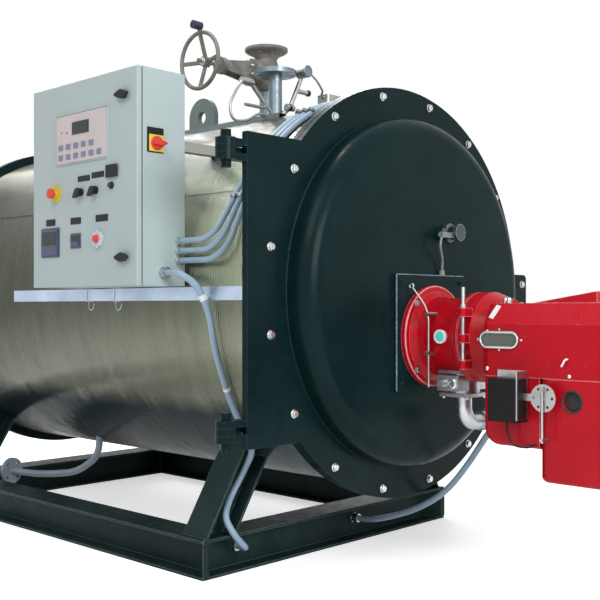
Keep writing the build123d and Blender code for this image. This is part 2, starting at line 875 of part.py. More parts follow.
def valve_body():
    """Stop valve: a round bulb on a foot, a waist and a flared, flanged outlet that faces up."""
    low = -valve_bulb_radius
    r = valve_bulb_radius
    rim = valve_outlet_rise - valve_flange
    waist = 0.67 * r
    outline = Polyline((0, low), (valve_foot_radius, low), (0.85 * r, 0.49 * low), (r, 0), (0.85 * r, 0.49 * r),
                       (waist, rim - 34), (waist + 12, rim - 16), (valve_flange_radius - 8, rim),
                       (valve_flange_radius, rim + 6), (valve_flange_radius, valve_outlet_rise),
                       (0, valve_outlet_rise), close=True)
    body = revolve(Plane.XZ * make_face(outline), Axis.Z)
    body += rod_x(waist, -bonnet_start, 0, 0, 0)
    body += rod_x(bonnet_radius, -bonnet_start, -bonnet_start + bonnet_flange, 0, 0)
    body -= rod_z(valve_bore, -valve_bore / 2, valve_outlet_rise + 1, 0, 0)
    body -= bolt_holes(valve_bolt_circle, valve_bolts, rim - 34, valve_outlet_rise + 1)
    return Pos(0, behind(valve_back), valve_axis) * body


def valve_bonnet():
    """Bonnet flange, packing gland, two tapered yoke arms, their head and the stem."""
    start = -bonnet_start - seat_gap
    flange_end = start - bonnet_flange
    yoke_end = start - yoke_length
    bonnet = rod_x(bonnet_radius, flange_end, start, 0, 0)
    bonnet += rod_x(packing_radius, flange_end - packing_length, flange_end, 0, 0)
    arm = make_face(Polyline((flange_end + 1, -yoke_half_wide), (flange_end + 1, yoke_half_wide),
                             (yoke_end, yoke_half_narrow), (yoke_end, -yoke_half_narrow), close=True))
    for side in (-1, 1):
        middle = side * (yoke_spread - yoke_arm) / 2
        bonnet += Pos(0, middle, 0) * extrude(Plane.XZ * arm, amount=yoke_arm / 2, both=True)
    bonnet += rod_x(yoke_spread / 2 + 4, yoke_end - 12, yoke_end + 14, 0, 0)
    bonnet += rod_x(stem_radius, handwheel_x - 10, start, 0, 0)
    return Pos(0, behind(valve_back), valve_axis) * bonnet


def handwheel():
    """Dished four-spoke wheel with a turning knob; it runs on the stem."""
    rim = handwheel_radius - rim_radius
    wheel = Rot(Y=90) * Torus(rim, rim_radius)
    hub = handwheel_dish
    spoke = Polyline((hub, 0, 15), (0, 0, rim))
    arm = sweep(Plane(origin=(hub, 0, 15), z_dir=spoke % 0) * Rectangle(10, 16), path=spoke)
    for index in range(4):
        wheel += Rot(X=90 * index) * arm
    wheel += rod_x(22, hub - 16, hub + 16, 0, 0)
    wheel += block((-5, 5), (-9, 9), (rim, rim + knob_rise))
    wheel += rod_x(knob_radius, 6 - knob_length, 6, 0, handwheel_radius + knob_rise - 4)
    wheel -= rod_x(stem_radius + pin_clearance, -60, 80, 0, 0)
    return Pos(handwheel_x, behind(valve_back), valve_axis) * wheel


def lifting_lug():
    eye = crown + lug_height - lug_width / 2
    y = behind(lug_back)
    half = lug_plate / 2
    reach = lug_width / 2
    plate = block((-half, half), (y - reach, y + reach), (axis_height, eye))
    plate += rod_x(reach, -half, half, y, eye)
    plate -= rod_x(lug_hole_radius, -lug_plate, lug_plate, y, eye)
    plate += block((-lug_pad_half, lug_pad_half), (y - reach - lug_pad_margin, y + reach + lug_pad_margin),
                   (axis_height, crown + 10))
    return seat_on_shell(plate)


def cable_trays():
    """Side tray under the cabinet on its lugs, and a narrow strip along the top."""
    back = -shell_radius - 4
    low = tray_top - tray_height
    sheet = tray_sheet
    side = block((back - tray_depth, back), (behind(tray_start), behind(tray_end)), (low, tray_top))
    side -= block((back - tray_depth + sheet, back + 1), (behind(tray_start) - 1, behind(tray_end) + 1),
                  (low + sheet, tray_top - sheet))
    for share in (0.08, 0.4, 0.72, 0.97):
        y = behind(tray_start + share * (tray_end - tray_start))
        side += block((back - tray_depth + sheet / 2, -shell_radius * 0.9), (y - 20, y + 20), (low + sheet, low + 6))
    strip_top = shell_height(strip_x) + strip_cover
    strip = block((strip_x - strip_half, strip_x + strip_half), (behind(strip_start), behind(strip_end)),
                  (axis_height, strip_top))
    strip -= block((strip_x - strip_half + sheet, strip_x + strip_half - sheet),
                   (behind(strip_start) - 1, behind(strip_end) + 1), (axis_height - 1, strip_top - sheet))
    return seat_on_shell(side) + seat_on_shell(strip)


def shell_height(x):
    """Height of the shell's upper surface at a distance from the middle plane."""
    return axis_height + math.sqrt(shell_radius ** 2 - x ** 2)


def cabinet_box():
    depth = (cabinet_front_x + cabinet_door_depth + door_gap, cabinet_back_x)
    width = (behind(cabinet_start), behind(cabinet_start + cabinet_width))
    height = (cabinet_bottom, cabinet_bottom + cabinet_height)
    box = block(depth, width, height)
    wall = cabinet_wall
    return box - block((depth[0] - 1, depth[1] - wall), (width[0] + wall, width[1] - wall),
                       (height[0] + wall, height[1] - wall))


def cabinet_door():
    width = (behind(cabinet_start), behind(cabinet_start + cabinet_width))
    height = (cabinet_bottom, cabinet_top)
    depth = (cabinet_front_x, cabinet_front_x + cabinet_door_depth)
    door = block(depth, width, height)
    door = fillet(door.edges().group_by(Axis.X)[0], 3)
    wall = cabinet_wall
    door -= block((depth[0] + wall, depth[1] + 1), (width[0] + wall, width[1] - wall),
                  (height[0] + wall, height[1] - wall))
    half = cabinet_hinge_length / 2 - 1
    for low in cabinet_hinge_heights:
        door += rod_z(cabinet_hinge_radius, low, low + half, cabinet_hinge_x(), cabinet_hinge_y())
        door += block((depth[1] - 6, depth[1]), (width[1] - 4, cabinet_hinge_y()), (low, low + half))
    return door


def cabinet_hinge_x():
    return cabinet_front_x + cabinet_door_depth - 3


def cabinet_hinge_y():
    return behind(cabinet_start + cabinet_width) + cabinet_hinge_radius + 3


def cabinet_hinges():
    hinges = Part()
    edge = cabinet_front_x + cabinet_door_depth + door_gap
    for low in cabinet_hinge_heights:
        top = low + cabinet_hinge_length
        hinges += rod_z(cabinet_hinge_radius, low + cabinet_hinge_length / 2, top,
                        cabinet_hinge_x(), cabinet_hinge_y())
        hinges += block((cabinet_hinge_x(), edge + 30),
                        (behind(cabinet_start + cabinet_width) + seat_gap,
                         behind(cabinet_start + cabinet_width) + 5),
                        (low + cabinet_hinge_length / 2, top))
    return hinges


def mounting_plate():
    """Plate for the switchgear, on a rail above and a rail below."""
    back = cabinet_back_x - cabinet_wall
    x = back - mounting_plate_lift
    left = behind(cabinet_start + mounting_plate_inset)
    right = behind(cabinet_start + cabinet_width - mounting_plate_inset)
    low = cabinet_bottom + mounting_plate_inset
    high = cabinet_top - mounting_plate_inset
    plate = block((x - 3, x), (left, right), (low, high))
    for foot in (low + 20, high - 20 - mounting_rail):
        plate += block((x - 1, back - seat_gap), (left + 20, right - 20), (foot, foot + mounting_rail))
    return plate


def cabinet_brackets():
    """Four arms that carry the cabinet from the shell."""
    arms = Part()
    span = cabinet_width - bracket_width - 2 * bracket_inset
    for distance in (cabinet_start + bracket_inset, cabinet_start + bracket_inset + span):
        for height in (cabinet_bottom + bracket_inset, cabinet_bottom + 0.66 * cabinet_height):
            arms += block((cabinet_back_x + seat_gap, -shell_radius / 4),
                          (behind(distance), behind(distance + bracket_width)), (height, height + bracket_width))
    return seat_on_shell(arms)


def operator_panel():
    """Front plate with its display and two rows of keys."""
    x = cabinet_front_x - seat_gap
    low = cabinet_bottom + panel_rise
    start = cabinet_start + panel_start
    panel = block((x - 4, x), (behind(start), behind(start + panel_width)), (low, low + panel_height))
    middle = start + panel_width / 2
    window = low + 0.7 * panel_height
    panel += block((x - 7, x - 2), (behind(middle - 56), behind(middle + 56)), (window - 24, window + 24))
    for row, columns in ((0.34, 5), (0.13, 6)):
        height = low + row * panel_height
        for index in range(columns):
            place = start + panel_width - 34 - index * panel_width / 6.5
            panel += block((x - 8, x - 2), (behind(place - 14), behind(place + 14)), (height - 10, height + 10))
    return panel


def door_controls():
    """Two selector knobs, a push button, the stop button on its disc and a hand switch."""
    x = cabinet_front_x - seat_gap
    row = cabinet_bottom + controls_rise
    controls = Part()
    for place in selector_places:
        y = behind(cabinet_start + place)
        controls += rod_x(selector_plate_radius, x - 5, x, y, row)
        controls += rod_x(selector_radius, x - 10, x, y, row)
        controls += block((x - 24, x - 4), (y - 4, y + 4), (row - selector_grip / 2, row + selector_grip / 2))
    button = behind(cabinet_start + button_place)
    controls += rod_x(button_plate_radius, x - 5, x, button, row + 10)
    controls += rod_x(button_radius, x - 14, x, button, row + 10)
    stop = behind(cabinet_start + stop_place)
    controls += rod_x(stop_disc_radius, x - 4, x, stop, row + 6)
    controls += rod_x(stop_button_radius, x - 34, x - 22, stop, row + 6)
    controls += rod_x(stop_stem_radius, x - 24, x - 2, stop, row + 6)
    y, z = behind(cabinet_start + hand_switch_place), row + hand_switch_rise
    return controls + block((x - 8, x), (y - hand_switch_width / 2, y + hand_switch_width / 2),
                            (z - hand_switch_height / 2, z + hand_switch_height / 2))


def door_instruments():
    """A large and a small panel meter and a round one, below the controls."""
    x = cabinet_front_x - seat_gap
    row = cabinet_bottom + instruments_rise
    instruments = Part()
    for place, width, height in (large_meter, small_meter):
        y = behind(cabinet_start + place)
        instruments += block((x - 4, x), (y - width / 2, y + width / 2), (row - height / 2, row + height / 2))
        face_width, face_height = width - 2 * meter_frame, height - 2 * meter_frame
        instruments += block((x - 9, x - 2), (y - face_width / 2, y + face_width / 2),
                             (row - face_height / 2, row + face_height / 2))
    return instruments + rod_x(round_meter_radius, x - 8, x, behind(cabinet_start + round_meter_place), row)


def door_latches():
    x = cabinet_front_x - seat_gap
    y = behind(cabinet_start + latch_inset)
    latches = Part()
    for height in (cabinet_bottom + 104, cabinet_top - 97):
        latches += rod_x(15, x - 4, x, y, height)
        latches += block((x - 12, x - 3), (y - 16, y + 16), (height - 5, height + 5))
    return latches


def main_switch():
    """Rotary handle on its two plates, on the cabinet's near side."""
    y = behind(cabinet_start) - seat_gap
    x = cabinet_front_x + switch_inset
    z = cabinet_bottom + switch_height
    switch = block((x - 38, x + 37), (y - 5, y), (z - 41, z + 79))
    switch += rod_y(31, y - 8, y - 4, x, z)
    switch += rod_y(24, y - 18, y - 7, x, z)
    handle = Polyline((x - 34, z + 9), (x - 34, z - 9), (x + 24, z - 9), (x + 36, z), (x + 24, z + 9), close=True)
    return switch + upright(make_face(handle), y - 36, 20, z=0)


def cable_glands():
    y = behind(cabinet_start) - seat_gap
    glands = Part()
    for index in range(3):
        height = cabinet_bottom + control_rise + control_pitch * index
        glands += rod_y(gland_radius, y - gland_length, y, control_x, height)
        glands += hexagon(gland_radius + 3, y - 8, y, control_x, height)
    height = cabinet_bottom + supply_gland_rise
    glands += rod_y(supply_gland_radius, y - supply_gland_length, y, supply_x, height)
    glands += hexagon(supply_gland_radius + 3, y - 9, y, supply_x, height)
    web = behind((beam_width - beam_web) / 2 + door_overhang)
    for x, back, z in ((burner_gland_x, burner_gland_back, burner_gland_z),
                       (skid_gland_x, skid_gland_back, skid_gland_z)):
        glands += rod_y(19, behind(back) + seat_gap, web - seat_gap, x, z)
        glands += hexagon(22, web - 12, web - seat_gap, x, z)
    return glands


def hexagon(radius, start, stop, x, z):
    return Pos(x, 0, z) * upright(RegularPolygon(radius, 6), start, stop - start, z=0)


def shell_point(angle, y, lift):
    """A point over the shell, with the angle from the top towards the left."""
    turn = math.radians(angle)
    radius = shell_radius + lift
    return (-radius * math.sin(turn), y, axis_height + radius * math.cos(turn))


def control_conduits():
    """Three conduits from the cabinet round the shell to the instruments on the top."""
    runs = Part()
    start = behind(cabinet_start) - gland_length - 2 * seat_gap
    for index in range(3):
        height = cabinet_bottom + control_rise + control_pitch * (2 - index)
        y = behind(control_start - conduit_pitch * index)
        points = [(control_x, start, height), (control_x, y, height)]
        for angle in control_angles:
            points.append(shell_point(angle, y, control_lift))
        points.append(shell_point(-4, y, control_lift - 4))
        runs += conduit(points, conduit_radius)
    return runs


def supply_conduit():
    """The burner's supply, from the cabinet down the shell and inside the front left leg."""
    start = cabinet_start - supply_gland_length - 2 * seat_gap
    gland = cabinet_bottom + supply_gland_rise
    points = [(supply_x, behind(start), gland), (supply_x, behind(start - 58), gland)]
    for x, back, rise in supply_route:
        points.append((x, behind(back), axis_height + rise))
    for x, back, height in supply_foot:
        points.append((x, behind(back), height))
    points.append((skid_gland_x, behind(skid_gland_back - 44), skid_gland_z))
    points.append((skid_gland_x, behind(skid_gland_back), skid_gland_z))
    return conduit(points, supply_radius)


def drain_pipe():
    """Blow-down pipe from the shell's underside to a flange near the skid's rear."""
    points = [(drain_x, behind(drain_start), axis_height - 0.86 * shell_radius)]
    points += [(drain_x + x, behind(drain_start + back), height) for x, back, height in drain_route]
    along = (Vector(*points[-1]) - Vector(*points[-2])).normalized()
    pipe = conduit(points, drain_radius)
    end = Plane(origin=points[-1], z_dir=along)
    pipe += extrude(end * Circle(drain_flange_radius), amount=-drain_flange)
    pipe -= extrude(end * Circle(drain_radius - pipe_wall), amount=-60)
    for place in PolarLocations(drain_bolt_circle, 4, start_angle=45):
        pipe -= extrude(end * place * Circle(flange_bolt_hole), amount=-drain_flange - 4)
    return seat_on_shell(pipe)


def burner_conduit():
    """Hose from the skid's front beam up to the burner."""
    x, back, z = burner_gland_x, burner_gland_back, burner_gland_z
    points = [(x, behind(back), z), (x, behind(back - 60), z)]
    points += [(x - aside, behind(back - near), z + rise) for aside, near, rise in burner_hose_route]
    points += [(burner_gland[0], door_face - housing_start + 102, burner_gland[1]),
               (burner_gland[0], door_face - housing_start + 11, burner_gland[1])]
    return conduit(points, supply_radius)


def pressure_branches():
    """Impulse pipes from the nozzle's foot to the gauge cock and switch, and the level probe."""
    foot = shell_height(safety_x)
    y = behind(safety_back)
    left = conduit([(safety_x - 20, y, foot + 16), (-292, y + 8, valve_axis - 108), (-330, y + 8, valve_axis - 108)],
                   impulse_radius)
    left += rod_x(16, -346, -280, y + 8, valve_axis - 108)
    left += conduit([(-340, y + 8, valve_axis - 108), (-379, y + 9, valve_axis - 160),
                     (-413, y + 10, valve_axis - 221), (-396, y + 10, valve_axis - 286),
                     (-315, y + 8, valve_axis - 279), (-245, y + 4, valve_axis - 232),
                     (safety_x - 6, y, foot + 4)], impulse_hose_radius)
    left += conduit([(-338, y - 6, valve_axis - 211), (-240, y - 6, valve_axis - 211),
                     (-200, y, foot + 46)], impulse_hose_radius + 1)
    right = conduit([(safety_x + 20, y - 8, foot + 12), (-100, y - 40, valve_axis - 199),
                     (-38, y - 48, valve_axis - 62), (-30, y - 48, valve_axis - 40)], impulse_radius)
    right += rod_x(15, -128, -84, y - 46, valve_axis - 198)
    right += rod_x(11, -60, -2, y - 50, valve_axis - 118)
    right += rod_y(switch_radius, y - 90, y - 38, -37, valve_axis - 33)
    branches = left + right
    branches -= rod_z(safety_pipe_radius + seat_gap, axis_height, safety_flange_top, safety_x, y)
    return seat_on_shell(branches)


def level_probe():
    """Probe stub on the crown with its square-ended connection head."""
    y = behind(probe_back)
    top = crown + probe_rise
    probe = rod_z(probe_stub_radius, axis_height, top - 20, probe_x, y)
    probe += rod_z(probe_stub_radius + 14, axis_height, shell_height(probe_x) + 26, probe_x, y)
    head = block((probe_x - probe_head_length / 2, probe_x + probe_head_length / 2), (y - 36, y + 36),
                 (top - probe_head_height, top))
    head = fillet(head.edges().filter_by(Axis.Z), 12)
    probe += head
    probe += conduit([(probe_x - 40, y, top - 22), (probe_x - 70, y - 10, top - 4), (112, y - 26, top + 8),
                      (62, y - 40, top + 42), (-2, y - 50, valve_axis - 30)], impulse_hose_radius - 1)
    probe -= rod_y(switch_radius + seat_gap, y - 120, y + 60, -37, valve_axis - 33)
    return seat_on_shell(probe)


if __name__ == "__main__":
    os.makedirs("parts", exist_ok=True)
    pieces = {
        "skid_side_left": skid_side(-1),
        "skid_side_right": skid_side(1),
        "skid_front_beam": skid_cross(-1),
        "skid_rear_beam": skid_cross(1),
        "leg_front_left": leg(-1, -1),
        "leg_front_right": leg(1, -1),
        "leg_rear_left": leg(-1, 1),
        "leg_rear_right": leg(1, 1),
        "boiler_shell": boiler_shell(),
        "front_flange": front_flange(),
        "front_tube_plate": front_tube_plate(),
        "furnace_tube": furnace_tube(),
        "rear_flange": rear_flange(),
        "rear_cover": rear_cover(),
        "flue_outlet": flue_outlet(),
        "lifting_lug": lifting_lug(),
        "cable_trays": cable_trays(),
        "safety_nozzle": safety_nozzle(),
        "steam_nozzle": steam_nozzle(),
        "valve_body": valve_body(),
        "valve_bonnet": valve_bonnet(),
        "handwheel": handwheel(),
        "pressure_branches": pressure_branches(),
        "level_probe": level_probe(),
        "cabinet_box": cabinet_box(),
        "mounting_plate": mounting_plate(),
        "cabinet_brackets": cabinet_brackets(),
        "cabinet_hinges": cabinet_hinges(),
        "main_switch": main_switch(),
        "cable_glands": cable_glands(),
        "cabinet_door": cabinet_door(),
        "operator_panel": operator_panel(),
        "door_controls": door_controls(),
        "door_instruments": door_instruments(),
        "door_latches": door_latches(),
        "control_conduits": control_conduits(),
        "supply_conduit": supply_conduit(),
        "drain_pipe": drain_pipe(),
        "fixed_hinge_lugs": fixed_hinge_lugs(),
        "hinge_pins": hinge_pins(),
        "door_plate": door_plate(),
        "door_dome": door_dome(),
        "door_lining": door_lining(),
        "door_hinge_lugs": door_hinge_lugs(),
        "sight_glass": sight_glass(),
        "burner_plate": burner_plate(),
        "burner_head": burner_head(),
        "blast_tube": blast_tube(),
        "burner_housing": burner_housing(),
        "burner_hood": burner_hood(),
        "burner_volute": burner_volute(),
        "air_box": air_box(),
        "fan_motor": fan_motor(),
        "gas_port": gas_port(),
        "gas_elbow": gas_elbow(),
        "servo_motor": servo_motor(),
        "throttle_linkage": throttle_linkage(),
        "burner_window": burner_window(),
        "burner_rods": burner_rods(),
        "burner_conduit": burner_conduit(),
    }
    for name, shape in pieces.items():
        export_step(shape, "parts/" + name + ".step")
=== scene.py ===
import json
import math

import bpy
import numpy as np
from mathutils import Matrix


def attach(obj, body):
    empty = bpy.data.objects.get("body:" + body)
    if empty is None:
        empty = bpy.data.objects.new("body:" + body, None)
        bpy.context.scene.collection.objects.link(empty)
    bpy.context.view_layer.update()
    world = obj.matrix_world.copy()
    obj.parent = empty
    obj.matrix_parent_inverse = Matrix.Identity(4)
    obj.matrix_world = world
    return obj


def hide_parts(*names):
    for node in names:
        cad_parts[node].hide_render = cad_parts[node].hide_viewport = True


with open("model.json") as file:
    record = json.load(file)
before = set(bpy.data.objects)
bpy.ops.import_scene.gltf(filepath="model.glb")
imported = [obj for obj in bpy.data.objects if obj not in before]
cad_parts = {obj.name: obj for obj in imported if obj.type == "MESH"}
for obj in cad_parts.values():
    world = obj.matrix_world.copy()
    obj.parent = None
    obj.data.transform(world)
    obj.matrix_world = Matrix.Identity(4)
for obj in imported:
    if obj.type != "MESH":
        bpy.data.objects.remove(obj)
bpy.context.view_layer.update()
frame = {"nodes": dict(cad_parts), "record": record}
nodes = frame["nodes"]
print("frame loaded:", len(nodes), "nodes")

# places and directions that many pieces share
doorFace = -1.455  # y of the door's front face
drumAxis = 1.09  # height of the drum's middle line
drumRadius = 0.786
burnerAxis = 0.918  # height of the burner's middle line
casingSide = 0.2073  # half width of the burner casing
toFront, toRear, toLeft, toRight = (0, -1, 0), (0, 1, 0), (-1, 0, 0), (1, 0, 0)
toTop, toFloor = (0, 0, 1), (0, 0, -1)
quarters = ((1, 1), (-1, 1), (-1, -1), (1, -1))  # signs of a rectangle's corners, in turn


def behind(millimetres):
    # y of a place that many millimetres behind the front face of the door
    return doorFace + millimetres / 1000


# surfaces worked out as whole arrays

def unit(vector):
    # a vector divided by its own length
    vector = np.asarray(vector, float)
    return vector / np.linalg.norm(vector, axis=-1, keepdims=True)


def fullTurn(steps):
    # evenly spaced angles once round
    return np.linspace(0, 2 * math.pi, steps, endpoint=False)


def circle(steps):
    # (cos, sin) of evenly spaced angles
    return np.stack([np.cos(fullTurn(steps)), np.sin(fullTurn(steps))], -1)


def crossDirections(direction):
    # two unit vectors square to the direction and to each other
    direction = unit(direction)
    helper = np.array([0, 0, 1.0]) if abs(direction[2]) < 0.9 else np.array([0, 1.0, 0])
    side = unit(np.cross(helper, direction))
    return side, np.cross(direction, side)


def outwards(count, axis, start=0.0):
    # unit vectors evenly spaced round the axis: cos * side + sin * up, the first turned by start degrees
    side, up = crossDirections(axis)
    turn = math.radians(start) + fullTurn(count)
    return np.cos(turn)[:, None] * side + np.sin(turn)[:, None] * up


def gridFaces(rows, columns, looped=False):
    # quads between neighbours; the last column joins the first, and when looped the last row does too
    i, j = np.meshgrid(np.arange(rows if looped else rows - 1), np.arange(columns), indexing="ij")
    k, m = (i + 1) % rows, (j + 1) % columns
    corners = [i * columns + j, i * columns + m, k * columns + m, k * columns + j]
    return np.stack(corners, -1).reshape(-1, 4)


def turnedOver(faces):
    # the same faces seen from their other side
    return faces[:, [0, 3, 2, 1]]


def capped(points, faces, columns):
    # closes the first and last ring with one face each
    count = len(points)
    first, last = list(range(columns))[::-1], list(range(count - columns, count))
    return points, [list(f) for f in faces] + [first, last]


def solid(profile, centre, direction, steps=24, sides=0):
    # profile of (radius, height) turned about the axis: centre + height * axis + radius * (cos, sin), closed
    # at both ends; with sides, the radius is half the width over flats and is divided by
    # cos(angle from the flat's middle)
    profile = np.asarray(profile, float)
    axis = unit(direction)
    around = outwards(steps, axis)
    if sides:
        half = math.pi / sides
        around = around / np.cos(fullTurn(steps) % (2 * half) - half)[:, None]
    points = centre + profile[:, 1, None, None] * axis + profile[:, 0, None, None] * around
    return capped(points.reshape(-1, 3), gridFaces(len(profile), steps), steps)


def slab(outline, origin, across, upwards, depth, bevel):
    # outline in the plane of across and upwards, pushed along their cross product, its far rim bevelled
    outline = np.asarray(outline, float)
    across, upwards = unit(across), unit(upwards)
    out = np.cross(across, upwards)
    middle = outline.mean(0)
    shrink = 1 - bevel / np.abs(outline - middle).max(0).clip(1e-6)
    rings = [(outline, 0.0), (outline, depth - bevel), (middle + (outline - middle) * shrink, depth)]
    points = [origin + flat[:, :1] * across + flat[:, 1:] * upwards + out * height for flat, height in rings]
    return capped(np.concatenate(points), gridFaces(3, len(outline)), len(outline))


def plate(centre, across, upwards, width, height, depth, corner=0.002):
    # a rectangle with quarter-circle corners, standing out along across x upwards, its edge bevelled 0.6 mm
    arcs = []
    for k, signs in enumerate(quarters):
        angle = np.linspace(0, math.pi / 2, 5) + k * math.pi / 2
        middle = np.multiply(signs, (width / 2 - corner, height / 2 - corner))
        arcs.append(middle + corner * np.stack([np.cos(angle), np.sin(angle)], -1))
    return slab(np.concatenate(arcs), centre, across, upwards, depth, 0.0006)


def ring(centre, normal, radius, thick, around, sides, ripple=0.0, waves=0):
    # a torus; with ripple its thickness swells by that share in so many waves, as a weld bead does
    outward = outwards(around, normal)[:, None]
    size = thick * (1 + ripple * np.cos(waves * fullTurn(around)))[:, None, None]
    small = circle(sides)[None, :, :, None]
    points = centre + outward * radius + size * (small[:, :, 0] * outward + small[:, :, 1] * unit(normal))
    return points.reshape(-1, 3), turnedOver(gridFaces(around, sides, looped=True))


def bead(start, stop, thick, ripple=0.14):
    # a straight weld bead: a round section carried along the line, its radius rippling every 6 mm
    along = np.subtract(stop, start)
    length = np.linalg.norm(along)
    height = np.linspace(0, 1, max(6, int(length / 0.0015))) * length
    radius = thick * (1 + ripple * np.cos(2 * math.pi * height / 0.006))
    radius[[0, -1]] = thick * 0.4
    return solid(np.stack([radius, height], -1), start, along, 8)


def hexBolt(place, direction, width, height, washer=1.35):
    # half width over flats and height of the head; the washer's radius is a multiple of the half width
    under = 0.18 * height
    disc = np.array([(0.94, 0), (1, 0.25), (1, 0.8), (0.95, 1)]) * (washer * width, under)
    head = np.array([(0.97, 0), (1, 0.12), (1, 0.80), (0.84, 1)]) * (width, height)
    return [solid(disc, place, direction), solid(head, place + under * unit(direction), direction, sides=6)]


def bolts(places, direction, width, height):
    # a bolt's head at each place
    return [part for place in places for part in hexBolt(place, direction, width, height)]


def placed(name, data):
    # a new object of the scene
    made = bpy.data.objects.new(name, data)
    bpy.context.scene.collection.objects.link(made)
    return made


def dressed(name, data, body, slotName, material):
    # a new object that rides on a body, in its own material or its slot's
    made = placed(name, data)
    data.materials.append(material or finishes[slotName])
    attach(made, body)
    return made


def piece(name, parts, body, slotName, material=None, smooth=True, replaced=()):
    # joins the parts into one mesh object that rides on a body
    points, faces, start = [], [], 0
    for partPoints, partFaces in parts:
        points.append(partPoints)
        faces += [[int(v) + start for v in f] for f in partFaces]
        start += len(partPoints)
    mesh = bpy.data.meshes.new(name)
    mesh.from_pydata(np.concatenate(points).tolist(), [], faces)
    mesh.validate()
    if smooth:
        mesh.shade_smooth()
        mesh.set_sharp_from_angle(angle=math.radians(35))
    made = dressed(name, mesh, body, slotName, material)
    if replaced:
        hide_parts(*replaced)


# materials

def isSocket(value):
    # true for another node's output, false for a plain value
    return isinstance(value, bpy.types.NodeSocket)


def addNode(tree, kind, inputs=None, **settings):
    # a shader node with its settings, values and links
    made = tree.nodes.new("ShaderNode" + kind)
    for key, value in settings.items():
        setattr(made, key, value)
    for key, value in (inputs or {}).items():
        if isSocket(value):
            tree.links.new(value, made.inputs[key])
        else:
            made.inputs[key].default_value = value
    return made


def added(tree, first, second, **settings):
    # the sum of two values
    return addNode(tree, "Math", {0: first, 1: second}, operation="ADD", **settings).outputs["Value"]


def product(tree, *values):
    # the values multiplied together
    result = values[0]
    for value in values[1:]:
        result = addNode(tree, "Math", {0: result, 1: value}, operation="MULTIPLY").outputs["Value"]
    return result


def spread(tree, value, low, high, start=0.3, end=0.7):
    # maps start..end of a value to low..high
    return addNode(tree, "MapRange", {"Value": value, "From Min": start, "From Max": end,
                                      "To Min": low, "To Max": high}).outputs["Result"]


def noise(tree, place, scale, detail, stretch=None):
    # grey noise on the place, stretched by a Mapping node where asked
    if stretch:
        place = addNode(tree, "Mapping", {"Vector": place, "Scale": stretch}).outputs["Vector"]
    return addNode(tree, "TexNoise", {"Vector": place, "Scale": scale, "Detail": detail}).outputs["Fac"]


def blendColours(tree, factor, first, second):
    # first colour where the factor is 0, second where it is 1
    first, second = (colour if isSocket(colour) else (*colour, 1) for colour in (first, second))
    return addNode(tree, "Mix", {0: factor, 6: first, 7: second}, data_type="RGBA").outputs[2]


def clouded(tree, place, scale, detail, first, second):
    # the two colours in soft patches
    return blendColours(tree, spread(tree, noise(tree, place, scale, detail), 0, 1), first, second)


def startMaterial(name, values):
    # a Principled material with plain values set on its own sockets
    material = bpy.data.materials.new(name)
    material.use_nodes = True
    tree = material.node_tree
    shader = tree.nodes["Principled BSDF"]
    for key, value in values.items():
        shader.inputs[key].default_value = value
    return material, tree, shader, addNode(tree, "TexCoord").outputs["Object"]


def bump(tree, shader, height, strength, distance, normal=None):
    # raises the surface by a height in metres, on top of an earlier bump where there is one
    made = addNode(tree, "Bump", {"Height": height, "Strength": strength, "Distance": distance})
    if normal:
        tree.links.new(normal, made.inputs["Normal"])
    tree.links.new(made.outputs["Normal"], shader.inputs["Normal"])
    return made.outputs["Normal"]


def finish(tree, shader, tint, rough):
    # feeds the shader's colour and roughness
    tree.links.new(tint, shader.inputs["Base Color"])
    tree.links.new(rough, shader.inputs["Roughness"])


def paint(name, colour, shade, roughness, coat, peel, patchScale, edgeWearAndHighlight=None, edgeWearAndHighlightWidth=0.004, specular=0.5):
    # sprayed paint: cloudy colour, orange peel, uneven gloss and, with an edge colour, pale edges
    # that are partly rubbed paint and partly a painted highlight
    material, tree, shader, place = startMaterial(name, {"Coat Weight": coat, "Coat Roughness": 0.12,
                                                         "Specular IOR Level": specular})
    tint = clouded(tree, place, patchScale, 5, colour, shade)
    rough = spread(tree, noise(tree, place, patchScale * 6, 4), roughness - 0.07, roughness + 0.09)
    # pale rounded edges: partly rubbed paint, partly a painted highlight
    if edgeWearAndHighlight:
        rounded = addNode(tree, "Bevel", {"Radius": edgeWearAndHighlightWidth}, samples=6).outputs["Normal"]
        flat = addNode(tree, "NewGeometry").outputs["Normal"]
        same = addNode(tree, "VectorMath", {0: rounded, 1: flat}, operation="DOT_PRODUCT").outputs["Value"]
        ragged = added(tree, same, spread(tree, noise(tree, place, 90, 6), -0.02, 0.14))
        tint = blendColours(tree, spread(tree, ragged, 1, 0, 0.86, 0.99), tint, edgeWearAndHighlight)
    finish(tree, shader, tint, rough)
    bump(tree, shader, noise(tree, place, 260, 2), peel, 0.0006)
    return material


def bareMetal(name, colour, shade, roughness, grain=(1, 1, 1), grainScale=60, grainDepth=0.1):
    # bare metal: brushed or cast grain in one direction, with stains
    material, tree, shader, place = startMaterial(name, {"Metallic": 1.0})
    tint = clouded(tree, place, 6, 5, colour, shade)
    lines = noise(tree, place, grainScale, 3, grain)
    finish(tree, shader, tint, spread(tree, lines, roughness - 0.08, roughness + 0.1))
    bump(tree, shader, lines, grainDepth, 0.0005)
    return material


def plastic(name, colour, shade, roughness, grainScale=500, grainDepth=0.12, specular=0.45):
    # moulded plastic: faint mottling and a fine spark-eroded grain
    material, tree, shader, place = startMaterial(name, {"Specular IOR Level": specular})
    tint = clouded(tree, place, 9, 3, colour, shade)
    finish(tree, shader, tint, spread(tree, noise(tree, place, 25, 3), roughness - 0.05, roughness + 0.06))
    bump(tree, shader, noise(tree, place, grainScale, 2), grainDepth, 0.0003)
    return material


def inside(tree, place, low, high):
    # 1 where the place lies in the box from low to high, else 0
    apart = addNode(tree, "SeparateXYZ", {"Vector": place})
    near = [addNode(tree, "Math", {0: apart.outputs[axis], 1: (least + most) / 2, 2: abs(most - least) / 2},
                    operation="COMPARE").outputs[0] for axis, least, most in zip("XYZ", low, high)]
    return product(tree, *near)


